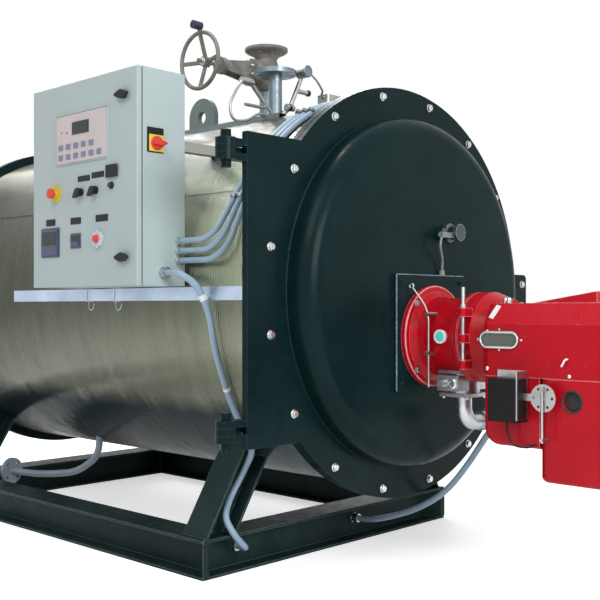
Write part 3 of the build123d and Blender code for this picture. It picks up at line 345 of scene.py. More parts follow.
def zoned(material, zones):
    # recolours the boxes of a finished material: zones of (low corner, high corner, colour)
    tree = material.node_tree
    shader = tree.nodes["Principled BSDF"]
    place = tree.nodes["Texture Coordinate"].outputs["Object"]
    tint = shader.inputs["Base Color"].links[0].from_socket
    for low, high, colour in zones:
        tint = blendColours(tree, inside(tree, place, low, high), tint, colour)
    tree.links.new(tint, shader.inputs["Base Color"])
    return material


# each fade: its value at the start and at the end, and where along the drum or up it these lie
claddingSheet = {
    "ribPitch": 0.0095, "drum": (0.30, 1.88), "roughness": (0.15, 0.28), "ribs": (0.9, 0.0016),
    "waves": (0.10, 0.02),
    # the colours up the drum are painted reflection, darkened towards the underside as painted shade
    "paintedLightStops": ((0.195, (0.021, 0.036, 0.040)),  # underside
              (0.235, (0.135, 0.142, 0.103)),
              (0.60, (0.140, 0.155, 0.108)),  # middle of the side
              (0.80, (0.185, 0.21, 0.165)),
              (0.86, (0.20, 0.20, 0.165))),  # crown
    # front, besideCabinet, belowCrown and aboveTray lighten the sheet as painted reflection; rear darkens it
    "front": (1.55, 0.96, -1.42, -1.02), "rear": (1.0, 0.66, -1.02, 0.2),
    "besideCabinet": (1, 0, -0.95, -0.75), "belowCrown": (1.5, 0, 1.40, 1.58),
    "aboveTray": (0, 1, 1.06, 1.09), "dust": (0.10, 1.0, 0.60, 0.68), "dustGloss": 0.04}


def claddingMetal():
    # bright sheet with fine ribs round the drum; its colour up the drum is painted reflection, darker towards
    # the underside as painted shade, with the height divided by the drum's own and broken up by streaks
    material, tree, shader, place = startMaterial("claddingMetal",
                                                  {"Specular IOR Level": claddingSheet["dustGloss"]})
    apart = addNode(tree, "SeparateXYZ", {"Vector": place}).outputs
    streaks = noise(tree, place, 2.2, 5, (1, 9, 1))
    height = added(tree, apart["Z"], spread(tree, streaks, -0.014, 0.014))

    def fade(value, key):
        # a value mapped by that fade of the dictionary
        return spread(tree, value, *claddingSheet[key])

    ramp = addNode(tree, "ValToRGB", {"Fac": spread(tree, height, 0, 1, *claddingSheet["drum"])})
    elements = ramp.color_ramp.elements
    elements.remove(elements[1])
    for index, (at, colour) in enumerate(claddingSheet["paintedLightStops"]):
        stop = elements.new(at) if index else elements[0]
        stop.position, stop.color = at, (*colour, 1)
    # the front sheet is lighter and the rear one darker, and it is brightest beside the cabinet above the
    # tray;
    # the lighter front sheet and that bright patch are painted reflection
    bright = product(tree, fade(apart["Y"], "besideCabinet"), fade(height, "belowCrown"),
                     fade(height, "aboveTray"))
    paintedReflectionAndStreaks = product(tree, fade(apart["Y"], "front"), fade(apart["Y"], "rear"), added(tree, bright, 1.0),
                     spread(tree, streaks, 0.88, 1.10))
    tint = addNode(tree, "VectorMath", {0: ramp.outputs["Color"], "Scale": paintedReflectionAndStreaks}, operation="SCALE")
    rough = spread(tree, noise(tree, place, 7, 4, (1, 4, 1)), *claddingSheet["roughness"])
    finish(tree, shader, tint.outputs["Vector"], rough)
    # the underside is too dusty to mirror the floor
    tree.links.new(fade(height, "dust"), shader.inputs["Metallic"])
    # a wave texture of scale 1 has 20 / (2 pi) bands in a metre
    scale = 2 * math.pi / claddingSheet["ribPitch"] / 20
    ribs = addNode(tree, "TexWave", {"Vector": place, "Scale": scale, "Distortion": 0.0},
                   wave_type="BANDS", bands_direction="Y", wave_profile="SIN").outputs["Fac"]
    ribbed = bump(tree, shader, ribs, *claddingSheet["ribs"])
    bump(tree, shader, noise(tree, place, 4.0, 2), *claddingSheet["waves"], ribbed)
    return material


casting = (0.235, 0.225, 0.19), (0.115, 0.105, 0.095), 0.6, 0.0, 1.0, 22.0
panelFace = (0.55, 0.48, 0.48), (0.60, 0.52, 0.52), 0.38, 700, 0.08

# paint: colour, shade, roughness, coat, orange peel, scale of its patches, colour and width of the pale
# edges, which are partly worn paint and partly a painted highlight
finishes = {
    "skid_paint": paint("skidPaint", (0.007, 0.020, 0.020), (0.017, 0.036, 0.036), 0.45, 0.0, 0.25, 5.0,
                        (0.22, 0.27, 0.28), 0.004, specular=0.10),
    "cladding": claddingMetal(),
    # its pale edges are partly rubbed paint and partly a painted highlight
    "black_paint": paint("blackPaint", (0.0025, 0.012, 0.013), (0.005, 0.018, 0.019), 0.27, 0.0, 0.2, 4.0,
                         (0.06, 0.09, 0.10), 0.0025, specular=0.07),
    "furnace_steel": bareMetal("furnaceSteel", (0.13, 0.11, 0.10), (0.06, 0.05, 0.05), 0.6),
    "lug_paint": paint("lugPaint", (0.10, 0.135, 0.13), (0.13, 0.165, 0.16), 0.45, 0.0, 0.25, 9.0),
    "galvanised": bareMetal("galvanised", (0.26, 0.31, 0.35), (0.16, 0.20, 0.23), 0.42, grainScale=45,
                            grainDepth=0.15),
    "valve_casting": paint("valveCasting", *casting),
    "instrument_steel": bareMetal("instrumentSteel", (0.52, 0.52, 0.50), (0.33, 0.34, 0.34), 0.33),
    "cabinet_paint": paint("cabinetPaint", (0.40, 0.475, 0.475), (0.43, 0.50, 0.50), 0.42, 0.0, 0.3, 2.0,
                           specular=0.3),
    "switch_plastic": plastic("switchPlastic", (0.010, 0.011, 0.013), (0.016, 0.017, 0.019), 0.42,
                              specular=0.2),
    "gland_metal": bareMetal("glandMetal", (0.62, 0.63, 0.62), (0.50, 0.51, 0.50), 0.25),
    "panel_face": plastic("panelFace", *panelFace),
    "conduit_plastic": plastic("conduitPlastic", (0.24, 0.34, 0.44), (0.29, 0.40, 0.50), 0.40),
    "pipe_steel": paint("pipePaint", (0.20, 0.245, 0.26), (0.25, 0.29, 0.31), 0.40, 0.0, 0.2, 12.0),
    "refractory": plastic("refractory", (0.58, 0.52, 0.42), (0.45, 0.40, 0.32), 0.85, 120, 0.8),
    # its pale red edges are a painted highlight
    "burner_red": paint("burnerRed", (0.40, 0.002, 0.009), (0.47, 0.004, 0.014), 0.30, 0.05, 0.18, 3.0,
                        (0.88, 0.34, 0.34), 0.0055, specular=0.15),
    "heat_steel": bareMetal("heatSteel", (0.34, 0.30, 0.27), (0.20, 0.21, 0.26), 0.35),
    "motor_grey": paint("motorGrey", (0.16, 0.175, 0.19), (0.20, 0.215, 0.23), 0.45, 0.0, 0.3, 8.0),
    "gas_casting": bareMetal("gasCasting", (0.58, 0.60, 0.62), (0.42, 0.44, 0.47), 0.38, grainScale=80,
                             grainDepth=0.3),
    "window_glass": plastic("windowGlass", (0.085, 0.10, 0.085), (0.12, 0.13, 0.115), 0.15, 200, 0.05),
}

# finishes with parts of their own colour, by node
ownFinishes = {
    "cable_trays": zoned(bareMetal("trayZinc", (0.58, 0.68, 0.84), (0.40, 0.48, 0.60), 0.34, (3, 1, 1), 30,
                                   0.15), [
        ((-0.3, -1.5, 1.70), (-0.1, 0.5, 2.0), (0.17, 0.21, 0.23))]),
    "drain_pipe": paint("drainPaint", (0.27, 0.32, 0.38), (0.33, 0.38, 0.45), 0.4, 0.0, 0.2, 12.0),
    "handwheel": zoned(paint("wheelCasting", *casting), [
        ((-0.6, -0.66, 2.2395), (-0.3, -0.61, 2.30), (0.022, 0.020, 0.055))]),
    "cabinet_brackets": paint("bracketPaint", (0.33, 0.335, 0.30), (0.40, 0.40, 0.36), 0.42, 0.0, 0.3, 6.0),
    "door_controls": zoned(plastic("doorControls", (0.016, 0.017, 0.019), (0.024, 0.025, 0.027), 0.38), [
        ((-1.1, behind(1005), 1.43), (-1.0, behind(920), 1.55), (0.66, 0.50, 0.03)),
        ((-1.1, behind(1005), 1.43), (-1.0402, behind(920), 1.55), (0.68, 0.055, 0.02))]),
    "door_instruments": zoned(plastic("doorInstruments", (0.055, 0.075, 0.13), (0.07, 0.09, 0.15), 0.4), [
        ((-1.1, behind(710), 1.24), (-1.0, behind(640), 1.35), (0.62, 0.55, 0.56))]),
    "operator_panel": zoned(plastic("operatorPanel", *panelFace), [
        ((-1.1, behind(960), 1.60), (-1.0322, behind(620), 1.69), (0.17, 0.20, 0.31)),
        ((-1.1, behind(860), 1.69), (-1.0318, behind(720), 1.76), (0.015, 0.016, 0.022))]),
    "servo_motor": plastic("servoPlastic", (0.004, 0.004, 0.005), (0.007, 0.007, 0.008), 0.36, specular=0.18),
    # its pale edges are a painted highlight, the bright arc on the rim
    "sight_glass": zoned(paint("sightGlass", (0.010, 0.022, 0.022), (0.018, 0.034, 0.033), 0.25, 0.3, 0.2,
                               8.0, (0.42, 0.56, 0.52), 0.005), [
        ((0.0, -1.7, 1.15), (0.094, -1.5, 1.36), (0.17, 0.20, 0.195))]),
}

for part in frame["record"]["subparts"]:
    shown = nodes[part["node"]].data.materials
    shown.clear()
    shown.append(ownFinishes.get(part["node"], finishes[part["material_slot"]]))
print("materials on the CAD nodes done")

# finishes of new pieces alone
zinc = bareMetal("boltZinc", (0.72, 0.74, 0.72), (0.50, 0.53, 0.52), 0.30, grainScale=200)
tiePlastic = plastic("tiePlastic", (0.80, 0.82, 0.82), (0.74, 0.76, 0.76), 0.4)
blackPlastic = plastic("blackPlastic", (0.008, 0.009, 0.010), (0.013, 0.014, 0.015), 0.35, specular=0.22)
yellowPlastic = plastic("yellowPlastic", (0.66, 0.52, 0.04), (0.72, 0.58, 0.06), 0.36)
redPlastic = plastic("redPlastic", (0.60, 0.030, 0.022), (0.66, 0.045, 0.032), 0.32)
guardPlastic = plastic("guardPlastic", (0.47, 0.53, 0.58), (0.54, 0.60, 0.65), 0.4)
darkGlass = plastic("darkGlass", (0.008, 0.010, 0.014), (0.014, 0.016, 0.022), 0.08, 50, 0.0)
cyanGlass = plastic("cyanGlass", (0.10, 0.62, 0.60), (0.14, 0.68, 0.66), 0.12, 80, 0.02)
sealRubber = plastic("sealRubber", (0.018, 0.019, 0.019), (0.026, 0.027, 0.027), 0.7, 300, 0.2)
# pale paint of the plate's edge beads: partly worn paint, partly a painted highlight
wornPaintAndHighlight = paint("wornPaintAndHighlight", (0.25, 0.33, 0.36), (0.07, 0.11, 0.12), 0.5, 0.0, 0.3, 60.0)
# pale red of a painted highlight on the burner head's rim
paintedHighlightRed = paint("paintedHighlightRed", (0.84, 0.42, 0.42), (0.66, 0.20, 0.21), 0.4, 0.0, 0.2, 40.0)


# camera, floor and light

studio = {"worldColour": (0.93, 0.96, 1.0, 1), "worldLight": 0.42, "floorGlow": 0.56, "floorHalf": 30}
cameraPlace = {"location": (-3.1858, -3.9062, 1.0329), "heading": -46.46, "lens": 58.8,
               "shift": (-0.0067, 0.0118)}


def setCamera(location, heading, lens, shift):
    # a level camera; the heading is in degrees to the left of the rear
    view = bpy.data.cameras.new("camera")
    view.lens, view.sensor_width, view.clip_start = lens, 36, 0.05
    view.shift_x, view.shift_y = shift
    eye = placed("camera", view)
    eye.location = location
    eye.rotation_euler = (math.pi / 2, 0, math.radians(heading))
    bpy.context.scene.camera = eye
    bpy.context.scene.view_settings.view_transform = "Standard"


def seenWhite(tree):
    # 1 for the rays that should meet plain white: from the camera, off gloss and through glass
    path = addNode(tree, "LightPath").outputs
    seen = added(tree, path["Is Camera Ray"], path["Is Glossy Ray"])
    return added(tree, seen, path["Is Transmission Ray"], use_clamp=True)


def setWorld():
    # soft light from all sides, which shows as plain white
    world = bpy.data.worlds.new("studio")
    bpy.context.scene.world = world
    world.use_nodes = True
    tree = world.node_tree
    light = tree.nodes["Background"]
    light.inputs["Color"].default_value = studio["worldColour"]
    light.inputs["Strength"].default_value = studio["worldLight"]
    white = addNode(tree, "Background", {"Color": (1, 1, 1, 1), "Strength": 1.0})
    mix = addNode(tree, "MixShader", {0: seenWhite(tree), 1: light.outputs[0], 2: white.outputs[0]})
    tree.links.new(mix.outputs[0], tree.nodes["World Output"].inputs["Surface"])


def setFloor(half):
    # pale floor; towards the camera it is held at white where nothing shades it
    mesh = bpy.data.meshes.new("floor")
    corners = [(x * half, y * half, 0) for x, y in ((-1, -1), (1, -1), (1, 1), (-1, 1))]
    mesh.from_pydata(corners, [], [(0, 1, 2, 3)])
    material, tree, shader, place = startMaterial("floorPale", {"Roughness": 0.9, "Specular IOR Level": 0.0})
    tint = clouded(tree, place, 2, 3, (0.92, 0.92, 0.92), (0.94, 0.94, 0.94))
    tree.links.new(tint, shader.inputs["Base Color"])
    shader.inputs["Emission Color"].default_value = (1, 1, 1, 1)
    tree.links.new(product(tree, seenWhite(tree), studio["floorGlow"]), shader.inputs["Emission Strength"])
    mesh.materials.append(material)
    placed("floor", mesh)


def softBox(name, place, aim, width, height, power, colour=(1, 1, 1)):
    # a rectangular lamp that faces its aim
    lamp = bpy.data.lights.new(name, "AREA")
    lamp.shape = "RECTANGLE"
    lamp.size, lamp.size_y = width, height
    lamp.energy = power
    lamp.color = colour
    holder = placed(name, lamp)
    holder.location = place
    back = unit(np.subtract(place, aim))
    holder.rotation_euler = Matrix(np.stack([*crossDirections(back), back], 1).tolist()).to_euler()


setCamera(**cameraPlace)
setWorld()
setFloor(studio["floorHalf"])
softBox("keyLight", (-4.5, -2.5, 5.0), (0, -0.4, 1.0), 3.0, 3.0, 120, (1.0, 0.98, 0.95))
softBox("fillLight", (-1.6, -6.0, 2.6), (-0.4, -1.0, 1.1), 2.6, 2.0, 165, (0.95, 0.98, 1.0))
softBox("stripLight", (-0.45, 1.6, 4.3), (-0.45, 1.6, 1.0), 0.32, 5.6, 125)
softBox("rimLight", (4.0, 3.5, 4.5), (0, 0.2, 1.3), 3.0, 3.0, 140)
print("camera, floor and lights done")


# hoses and other smooth lines

def smoothLine(name, route, radius, body, slotName, material=None):
    # one NURBS spline of order 3 with the route's points as its control points, thickened to the radius
    curve = bpy.data.curves.new(name, "CURVE")
    curve.dimensions = "3D"
    curve.resolution_u = 20
    curve.bevel_depth = radius
    curve.bevel_resolution = 5
    curve.use_fill_caps = True
    spline = curve.splines.new("NURBS")
    spline.points.add(len(route) - 1)
    spline.points.foreach_set("co", np.column_stack([route, np.ones(len(route))]).ravel())
    spline.order_u = 3
    spline.use_endpoint_u = True
    return dressed(name, curve, body, slotName, material)


burnerHose = {"radius": 0.013, "length": 1.085, "route": [
    (0.165, behind(395), 0.088), (0.165, behind(335), 0.088), (0.164, behind(215), 0.120),
    (0.163, behind(75), 0.172), (0.160, behind(-78), 0.262), (0.155, behind(-190), 0.388),
    (0.145, behind(-285), 0.515), (0.130, behind(-388), 0.640), (0.130, behind(-479), 0.640)]}


def makeBurnerHose(radius, length, route):
    # the burner's supply, from the skid up to the casing
    hose = smoothLine("burnerHose", route, radius, "front_door", "conduit_plastic")
    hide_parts("burner_conduit")


servoLead = {"radius": 0.0035, "length": 0.168, "route": [
    (-0.241, behind(-622), 0.638), (-0.241, behind(-623), 0.606), (-0.236, behind(-628), 0.572),
    (-0.224, behind(-640), 0.553), (-0.214, behind(-665), 0.548), (-0.208, behind(-696), 0.550),
    (-0.2025, behind(-712), 0.560)]}


def makeServoLead(radius, length, route):
    # the servo's lead, from its underside into the casing
    lead = smoothLine("servoLead", route, radius, "front_door", "switch_plastic")


makeBurnerHose(**burnerHose)
makeServoLead(**servoLead)
print("hoses done")


# drum and skid

doorBolts = {"count": 16, "radius": 0.792, "start": 11.25, "head": (0.0122, 0.0105),
             "free": (0.888, (1.04, 1.14)), "rear": behind(2530)}


def makeDoorBolts(count, radius, start, head, free, rear):
    # heads round the door's rim with two more on its free side, and heads round the rear cover
    x, heights = free
    rim = (0, doorFace, drumAxis) + radius * outwards(count, toFront, start)
    places = [*rim, *((x, doorFace, z) for z in heights)]
    piece("doorBolts", bolts(places, toFront, *head), "front_door", "gland_metal", zinc)
    places = (0, rear, drumAxis) + radius * outwards(count, toRear, start)
    piece("rearBolts", bolts(places, toRear, *head), "boiler", "gland_metal", zinc)


makeDoorBolts(**doorBolts)

doorWelds = {"dish": (doorFace - 0.001, 0.7005), "rear": (behind(2530) + 0.001, 0.690), "thick": 0.0042,
             "ripple": (0.16, 350)}


def makeDoorWelds(dish, rear, thick, ripple):
    # a rippled bead round the door's dish, and one round the rear cover's
    for name, (y, radius), direction, body in (("dishWeld", dish, toFront, "front_door"),
                                               ("rearWeld", rear, toRear, "boiler")):
        weld = ring((0, y, drumAxis), direction, radius, thick, 1400, 8, *ripple)
        piece(name, [weld], body, "black_paint")


makeDoorWelds(**doorWelds)
print("door bolts and welds done")

skidWelds = {"half": 0.774, "end": 1.09, "beam": 0.150, "thick": 0.0035, "gap": 0.012,
             "legEdges": (0.751, 0.589), "legMiddles": (-1.010, 0.940), "legHalf": 0.068}


def makeSkidWelds(half, end, beam, thick, gap, legEdges, legMiddles, legHalf):
    # beads along the mitres and corners of the beams, and on both sides of each leg's foot
    parts = []
    for side in (-1, 1):
        for way in (-1, 1):
            outer, inner = (side * half, way * end), (side * (half - beam), way * (end - beam))
            parts += [bead((*outer, beam), (*inner, beam), thick),
                      bead((*outer, gap), (*outer, beam - gap), thick * 0.8)]
    z = beam + 0.001
    for y in legMiddles:
        for side in (-1, 1):
            parts += [bead((side * x, y - legHalf, z), (side * x, y + legHalf, z), thick) for x in legEdges]
    piece("skidWelds", parts, "boiler", "skid_paint")


makeSkidWelds(**skidWelds)

sheetSeams = {"heights": (1.125, 1.478), "width": 0.012, "thick": 0.0014, "ends": (behind(2478), behind(62))}


def makeSheetSeams(heights, width, thick, ends):
    # lap joints of the sheet: a strip along the drum that follows its round, on both sides
    parts = []
    for height in heights:
        middle = math.asin((height - drumAxis) / drumRadius)
        turn = middle + np.linspace(-0.5, 0.5, 6) * width / drumRadius
        for side in (-1, 1):
            inner, outer = (np.stack([side * radius * np.cos(turn), radius * np.sin(turn) + drumAxis], -1)
                            for radius in (drumRadius, drumRadius + thick))
            section = np.concatenate([inner, outer[::-1]])[::side]
            walls = [np.insert(section, 1, y, axis=1) for y in ends]
            parts.append(capped(np.concatenate(walls), gridFaces(2, len(section)), len(section)))
    piece("sheetSeams", parts, "boiler", "cladding", smooth=False)


makeSheetSeams(**sheetSeams)
print("skid welds and sheet seams done")

conduitClips = {"angles": (64, 46, 28), "places": (245, 211, 177), "radius": 0.0132, "lift": 0.022}


def makeConduitClips(angles, places, radius, lift):
    # a band round each conduit with a foot on the sheet and a screw in it
    parts, screws = [], []
    band = [(radius - 0.0012, -0.008), (radius, -0.007), (radius, 0.007), (radius - 0.0012, 0.008)]
    for angle in angles:
        turn = math.radians(angle)
        outward = np.array([-math.sin(turn), 0, math.cos(turn)])
        for distance in places:
            onShell = (0, behind(distance), drumAxis) + drumRadius * outward
            centre = onShell + lift * outward
            parts.append(solid(band, centre, (math.cos(turn), 0, math.sin(turn)), 28))
            foot = onShell + 0.0004 * outward
            parts.append(plate(foot, toRear, np.cross(outward, toRear), 0.030, 0.014, 0.012, 0.003))
            screws += hexBolt(centre + (radius - 0.001) * outward, outward, 0.0050, 0.005, 1.2)
    piece("conduitClips", parts, "boiler", "galvanised")
    piece("clipScrews", screws, "boiler", "gland_metal", zinc)


makeConduitClips(**conduitClips)

cableTies = {"conduit": [((-0.8436, behind(285.4), 1.067), (0.411, -0.179, -0.894), 0.011),
                         ((-0.7211, behind(290.7), 0.725), (0.470, 0.104, -0.876), 0.006)],
             "radius": 0.0146, "tray": (-0.805, 1.083), "traySize": (0.036, 0.055), "places": (1060, 868),
             "tail": [(-0.004, 0, 0.004), (-0.006, 0, -0.012), (-0.012, -0.010, -0.030),
                      (-0.016, -0.032, -0.038), (-0.018, -0.054, -0.026), (-0.019, -0.060, -0.008)]}


def makeCableTies(conduit, radius, tray, traySize, places, tail):
    # broad bands round the supply conduit, and bands round the tray with their tails hanging down
    parts = []
    for centre, along, wide in conduit:
        low = radius - 0.0015
        band = [(low, -wide), (radius, -wide * 0.9), (radius, wide * 0.9), (low, wide)]
        side, up = crossDirections(along)
        parts += [solid(band, centre, along, 40),
                  plate(centre - 0.0150 * side, up, along, 0.008, 0.006, 0.006, 0.001)]
    x, z = tray
    parts += [plate((x, behind(distance), z), toRight, toTop, *traySize, 0.005, 0.004) for distance in places]
    piece("cableTies", parts, "boiler", "switch_plastic", tiePlastic)
    for index, distance in enumerate(places):
        low = np.array([x, behind(distance), z - traySize[1] / 2])
        smoothLine("tieTail%d" % index, low + tail, 0.0016, "boiler", "switch_plastic", tiePlastic)


makeCableTies(**cableTies)

traySleeve = {"x": -0.8045, "z": 1.0835, "start": behind(306), "stop": behind(424), "wide": 0.0112,
              "high": 0.0215, "ribs": 9}


def makeTraySleeve(x, z, start, stop, wide, high, ribs):
    # corrugated sleeve: an ellipse carried along Y, its size 0.80 to 1.0 of the full one in so many waves
    rows, columns = 20 * ribs + 1, 28
    share = np.linspace(0, 1, rows)[:, None]
    turn = fullTurn(columns)[None]
    size = 0.90 + 0.10 * np.tanh(3 * np.sin(2 * math.pi * ribs * share))
    along = start + share * (stop - start) + 0 * turn
    points = np.stack([x + wide * size * np.cos(turn), along, z + high * size * np.sin(turn)], -1)
    points, faces = capped(points.reshape(-1, 3), gridFaces(rows, columns), columns)
    piece("traySleeve", [(points, [face[::-1] for face in faces])], "boiler", "switch_plastic", tiePlastic)


makeTraySleeve(**traySleeve)
print("clips, ties and sleeve done")


# cabinet; a place on its door is given by its distance behind the boiler's front and its height

cabinetFace = {"x": -1.0270, "start": behind(435), "stop": behind(1137), "bottom": 1.112, "top": 1.913}


def onDoor(distance, height, out=0.0):
    # a place on the cabinet door's face, or so far out from it
    return (cabinetFace["x"] - out, behind(distance), height)


def doorPlate(distance, height, wide, high, depth, out=0.0, corner=0.002):
    # a plate with rounded corners on the cabinet door
    return plate(onDoor(distance, height, out), toFront, toTop, wide, high, depth, corner)


# blank plates: distance, height, width, height, depth and how far out it stands
doorPlates = {"near": (773, 1.530, 0.080, 0.022, 0.0022), "far": (680, 1.536, 0.080, 0.022, 0.0022),
              "largeMeter": (1006, 1.372, 0.066, 0.026, 0.0022), "knob": (828, 1.369, 0.070, 0.026, 0.0022),
              "star": (654, 1.370, 0.078, 0.026, 0.0022), "raised": (583, 1.541, 0.072, 0.048, 0.0018, 0.008)}
piece("doorPlates", [doorPlate(*values) for values in doorPlates.values()], "cabinet_door", "switch_plastic")

latchWings = {"heights": (1.216, 1.816), "distance": 511, "out": 0.0122, "size": (0.084, 0.036),
              "depth": 0.010}


def makeLatchWings(heights, distance, out, size, depth):
    # wing with four blunt corners: half length * cos and half width * sin, with cos and sin to the power 1.5
    wave = circle(64)
    outline = np.array(size) / 2 * np.sign(wave) * np.abs(wave) ** 1.5
    parts = [slab(outline, onDoor(distance, z, out), toFront, toTop, depth, 0.0025) for z in heights]
    piece("latchWings", parts, "cabinet_door", "switch_plastic", blackPlastic)


makeLatchWings(**latchWings)

selectorGrips = {"places": ((789, 1.478), (691, 1.478)), "out": 0.0100, "radius": 0.0150, "tail": 0.036,
                 "lean": 218, "depth": 0.0165}


def makeSelectorGrips(places, out, radius, tail, lean, depth):
    # teardrop seen from the front: a circle whose far side is drawn out into a tail, leaning down to the left
    cosine, sine = circle(72).T
    pull = np.maximum(0, cosine) ** 3
    along = radius * cosine + (tail - radius) * pull
    aside = radius * sine * (1 - 0.45 * pull)
    lean = math.radians(lean)
    outline = np.stack([along * math.cos(lean) - aside * math.sin(lean),
                        along * math.sin(lean) + aside * math.cos(lean)], -1)
    parts = [slab(outline, onDoor(*place, out), toFront, toTop, depth, 0.002) for place in places]
    piece("selectorGrips", parts, "cabinet_door", "switch_plastic", blackPlastic)


makeSelectorGrips(**selectorGrips)

rotarySwitch = {"centre": (-0.943, -1.0203, 1.637), "size": (0.066, 0.062), "labelHigh": 0.024, "gap": 0.002,
                "disc": 0.026, "grip": (0.060, 0.019), "reach": 0.0155}


def makeRotarySwitch(centre, size, labelHigh, gap, disc, grip, reach):
    # black base with a bare label plate above the yellow plate; the red handle has a pointed end
    centre = np.array(centre)
    wide, high = size
    full = high + gap + labelHigh
    base = centre + (-0.003, 0, (full - high) / 2 - 0.002)
    label = centre + (0, -0.004, high / 2 + gap + labelHigh / 2)
    parts = [plate(base, toRight, toTop, wide + 0.008, full + 0.004, 0.004),
             plate(label, toRight, toTop, wide, labelHigh, 0.0015)]
    piece("switchBase", parts, "boiler", "switch_plastic", blackPlastic, replaced=["main_switch"])
    yellow = plate(centre - (0, 0.004, 0), toRight, toTop, wide, high, 0.002)
    piece("switchPlate", [yellow], "boiler", "switch_plastic", yellowPlastic)
    collar = solid([(disc, 0), (disc, 0.006), (disc * 0.9, 0.009), (disc * 0.5, 0.010)],
                   centre - (0, 0.0058, 0), toFront, 48)
    outline = np.array([(-0.3, -0.5), (0.22, -0.5), (0.56, 0), (0.22, 0.5), (-0.3, 0.5), (-0.5, 0.42),
                        (-0.5, -0.42)]) * grip
    handle = slab(outline + (0.006, 0), centre - (0, 0.014, 0), toRight, toTop, reach, 0.002)
    piece("switchHandle", [collar, handle], "boiler", "switch_plastic", redPlastic)


makeRotarySwitch(**rotarySwitch)

starGuard = {"place": (674, 1.291), "out": 0.0082, "radius": 0.0315, "points": 8, "depth": 0.0035}


def makeStarGuard(place, out, radius, points, depth):
    # thin pale guard whose outline swells and shrinks in eight waves, with a red knob at its middle
    outline = (radius * (1 + 0.16 * np.cos(points * fullTurn(128))))[:, None] * circle(128)
    guard = slab(outline, onDoor(*place, out), toFront, toTop, depth, 0.001)
    piece("starGuard", [guard], "cabinet_door", "switch_plastic", guardPlastic)
    knob = solid([(0.0165, 0), (0.0165, 0.002), (0.0135, 0.004), (0.0125, 0.010), (0.0105, 0.012)],
                 onDoor(*place, out + depth), toLeft, 48)
    piece("starKnob", [knob], "cabinet_door", "switch_plastic", redPlastic)


makeStarGuard(**starGuard)

# panes of the meters and the display, in the same values
meterGlass = {"large": (1006, 1.3065, 0.102, 0.056, 0.0014, 0.0091),
              "small": (827, 1.299, 0.046, 0.026, 0.0014, 0.0091),
              "display": (789.5, 1.7299, 0.100, 0.038, 0.0012, 0.0071)}
piece("meterGlass", [doorPlate(*values) for values in meterGlass.values()], "cabinet_door", "switch_plastic",
      darkGlass)

panelDetails = {"lamps": ((919, 1.722), (884, 1.718)), "lampSize": (0.0045, 0.003),
                "border": (789.5, 1.6925, 0.347, 0.195), "bar": (0.004, 0.0052)}


def makePanelDetails(lamps, lampSize, border, bar):
    # two domed lamps, and four bars round the panel
    dome = np.array([(1, 0), (1, 0.5), (0.7, 0.9), (0.3, 1.0)]) * lampSize
    parts = [solid(dome, onDoor(*place, 0.0040), toLeft) for place in lamps]
    piece("panelLamps", parts, "cabinet_door", "panel_face", redPlastic)
    distance, height, wide, high = border
    thick, depth = bar
    parts = []
    for way in (-0.5, 0.5):
        parts += [doorPlate(distance, height + way * high, wide, thick, depth, corner=0.0015),
                  doorPlate(distance + way * wide * 1000, height, thick, high, depth, corner=0.0015)]
    piece("panelBorder", parts, "cabinet_door", "cabinet_paint")


makePanelDetails(**panelDetails)

doorSeal = {"x": -1.0069, "inset": 0.010, "wide": 0.012, "depth": 0.0041}


def makeDoorSeal(x, inset, wide, depth):
    # a flat rubber section carried round the door's rim, with its four corners turned square
    near, far = cabinetFace["start"] + inset, cabinetFace["stop"] - inset
    low, high = cabinetFace["bottom"] + inset, cabinetFace["top"] - inset
    outer = np.array([(near, low), (far, low), (far, high), (near, high)])
    inner = outer + np.array(quarters) * wide
    section = ((outer, x), (outer, x + depth), (inner, x + depth), (inner, x))
    points = np.concatenate([np.insert(flat, 0, place, axis=1) for flat, place in section])
    seal = points, turnedOver(gridFaces(4, 4, looped=True))
    piece("doorSeal", [seal], "cabinet_door", "switch_plastic", sealRubber, smooth=False)


makeDoorSeal(**doorSeal)
print("cabinet details done")


# burner

burnerBolts = {"plateHalf": 0.1965, "plateMiddle": 0.933, "plateY": behind(-127.3), "stud": (0.0085, 0.008),
               "radius": 0.182, "flangeY": behind(-149.4), "bolt": (0.0095, 0.009)}


def makeBurnerBolts(plateHalf, plateMiddle, plateY, stud, radius, flangeY, bolt):
    # four bolts on the head's flange, and a stud at each corner of the burner plate
    flange = (0, flangeY, burnerAxis) + radius * outwards(4, toFront, 45)
    piece("burnerBolts", bolts(flange, toFront, *bolt), "front_door", "gland_metal",
          finishes["instrument_steel"])
    ways = (-plateHalf, plateHalf)
    corners = [(x, plateY, plateMiddle + z) for x in ways for z in ways]
    piece("burnerStuds", bolts(corners, toFront, *stud), "front_door", "black_paint")


makeBurnerBolts(**burnerBolts)

plateRim = {"half": 0.2265, "middle": 0.933, "y": behind(-127.0), "thick": 0.0030, "ripple": 0.22}


def makePlateRim(half, middle, y, thick, ripple):
    # sealing beads along the plate's near edge and its top, in pale paint that is partly worn paint and
    # partly a painted highlight
    top = middle + half
    parts = [bead((-half, y, middle - half + 0.004), (-half, y, top), thick, ripple),
             bead((-half, y, top), (half - 0.004, y, top), thick * 0.7, ripple)]
    piece("plateRim", parts, "front_door", "black_paint", wornPaintAndHighlight)


makePlateRim(**plateRim)

# a painted highlight on the edge of the burner head's flange
headRimHighlight = {"y": behind(-146.6), "radius": 0.1968, "thick": 0.0024, "ripple": (0.12, 37)}
piece("headRimHighlight", [ring((0, headRimHighlight["y"], burnerAxis), toFront, headRimHighlight["radius"], headRimHighlight["thick"], 160, 10,
                       *headRimHighlight["ripple"])], "front_door", "burner_red", paintedHighlightRed)

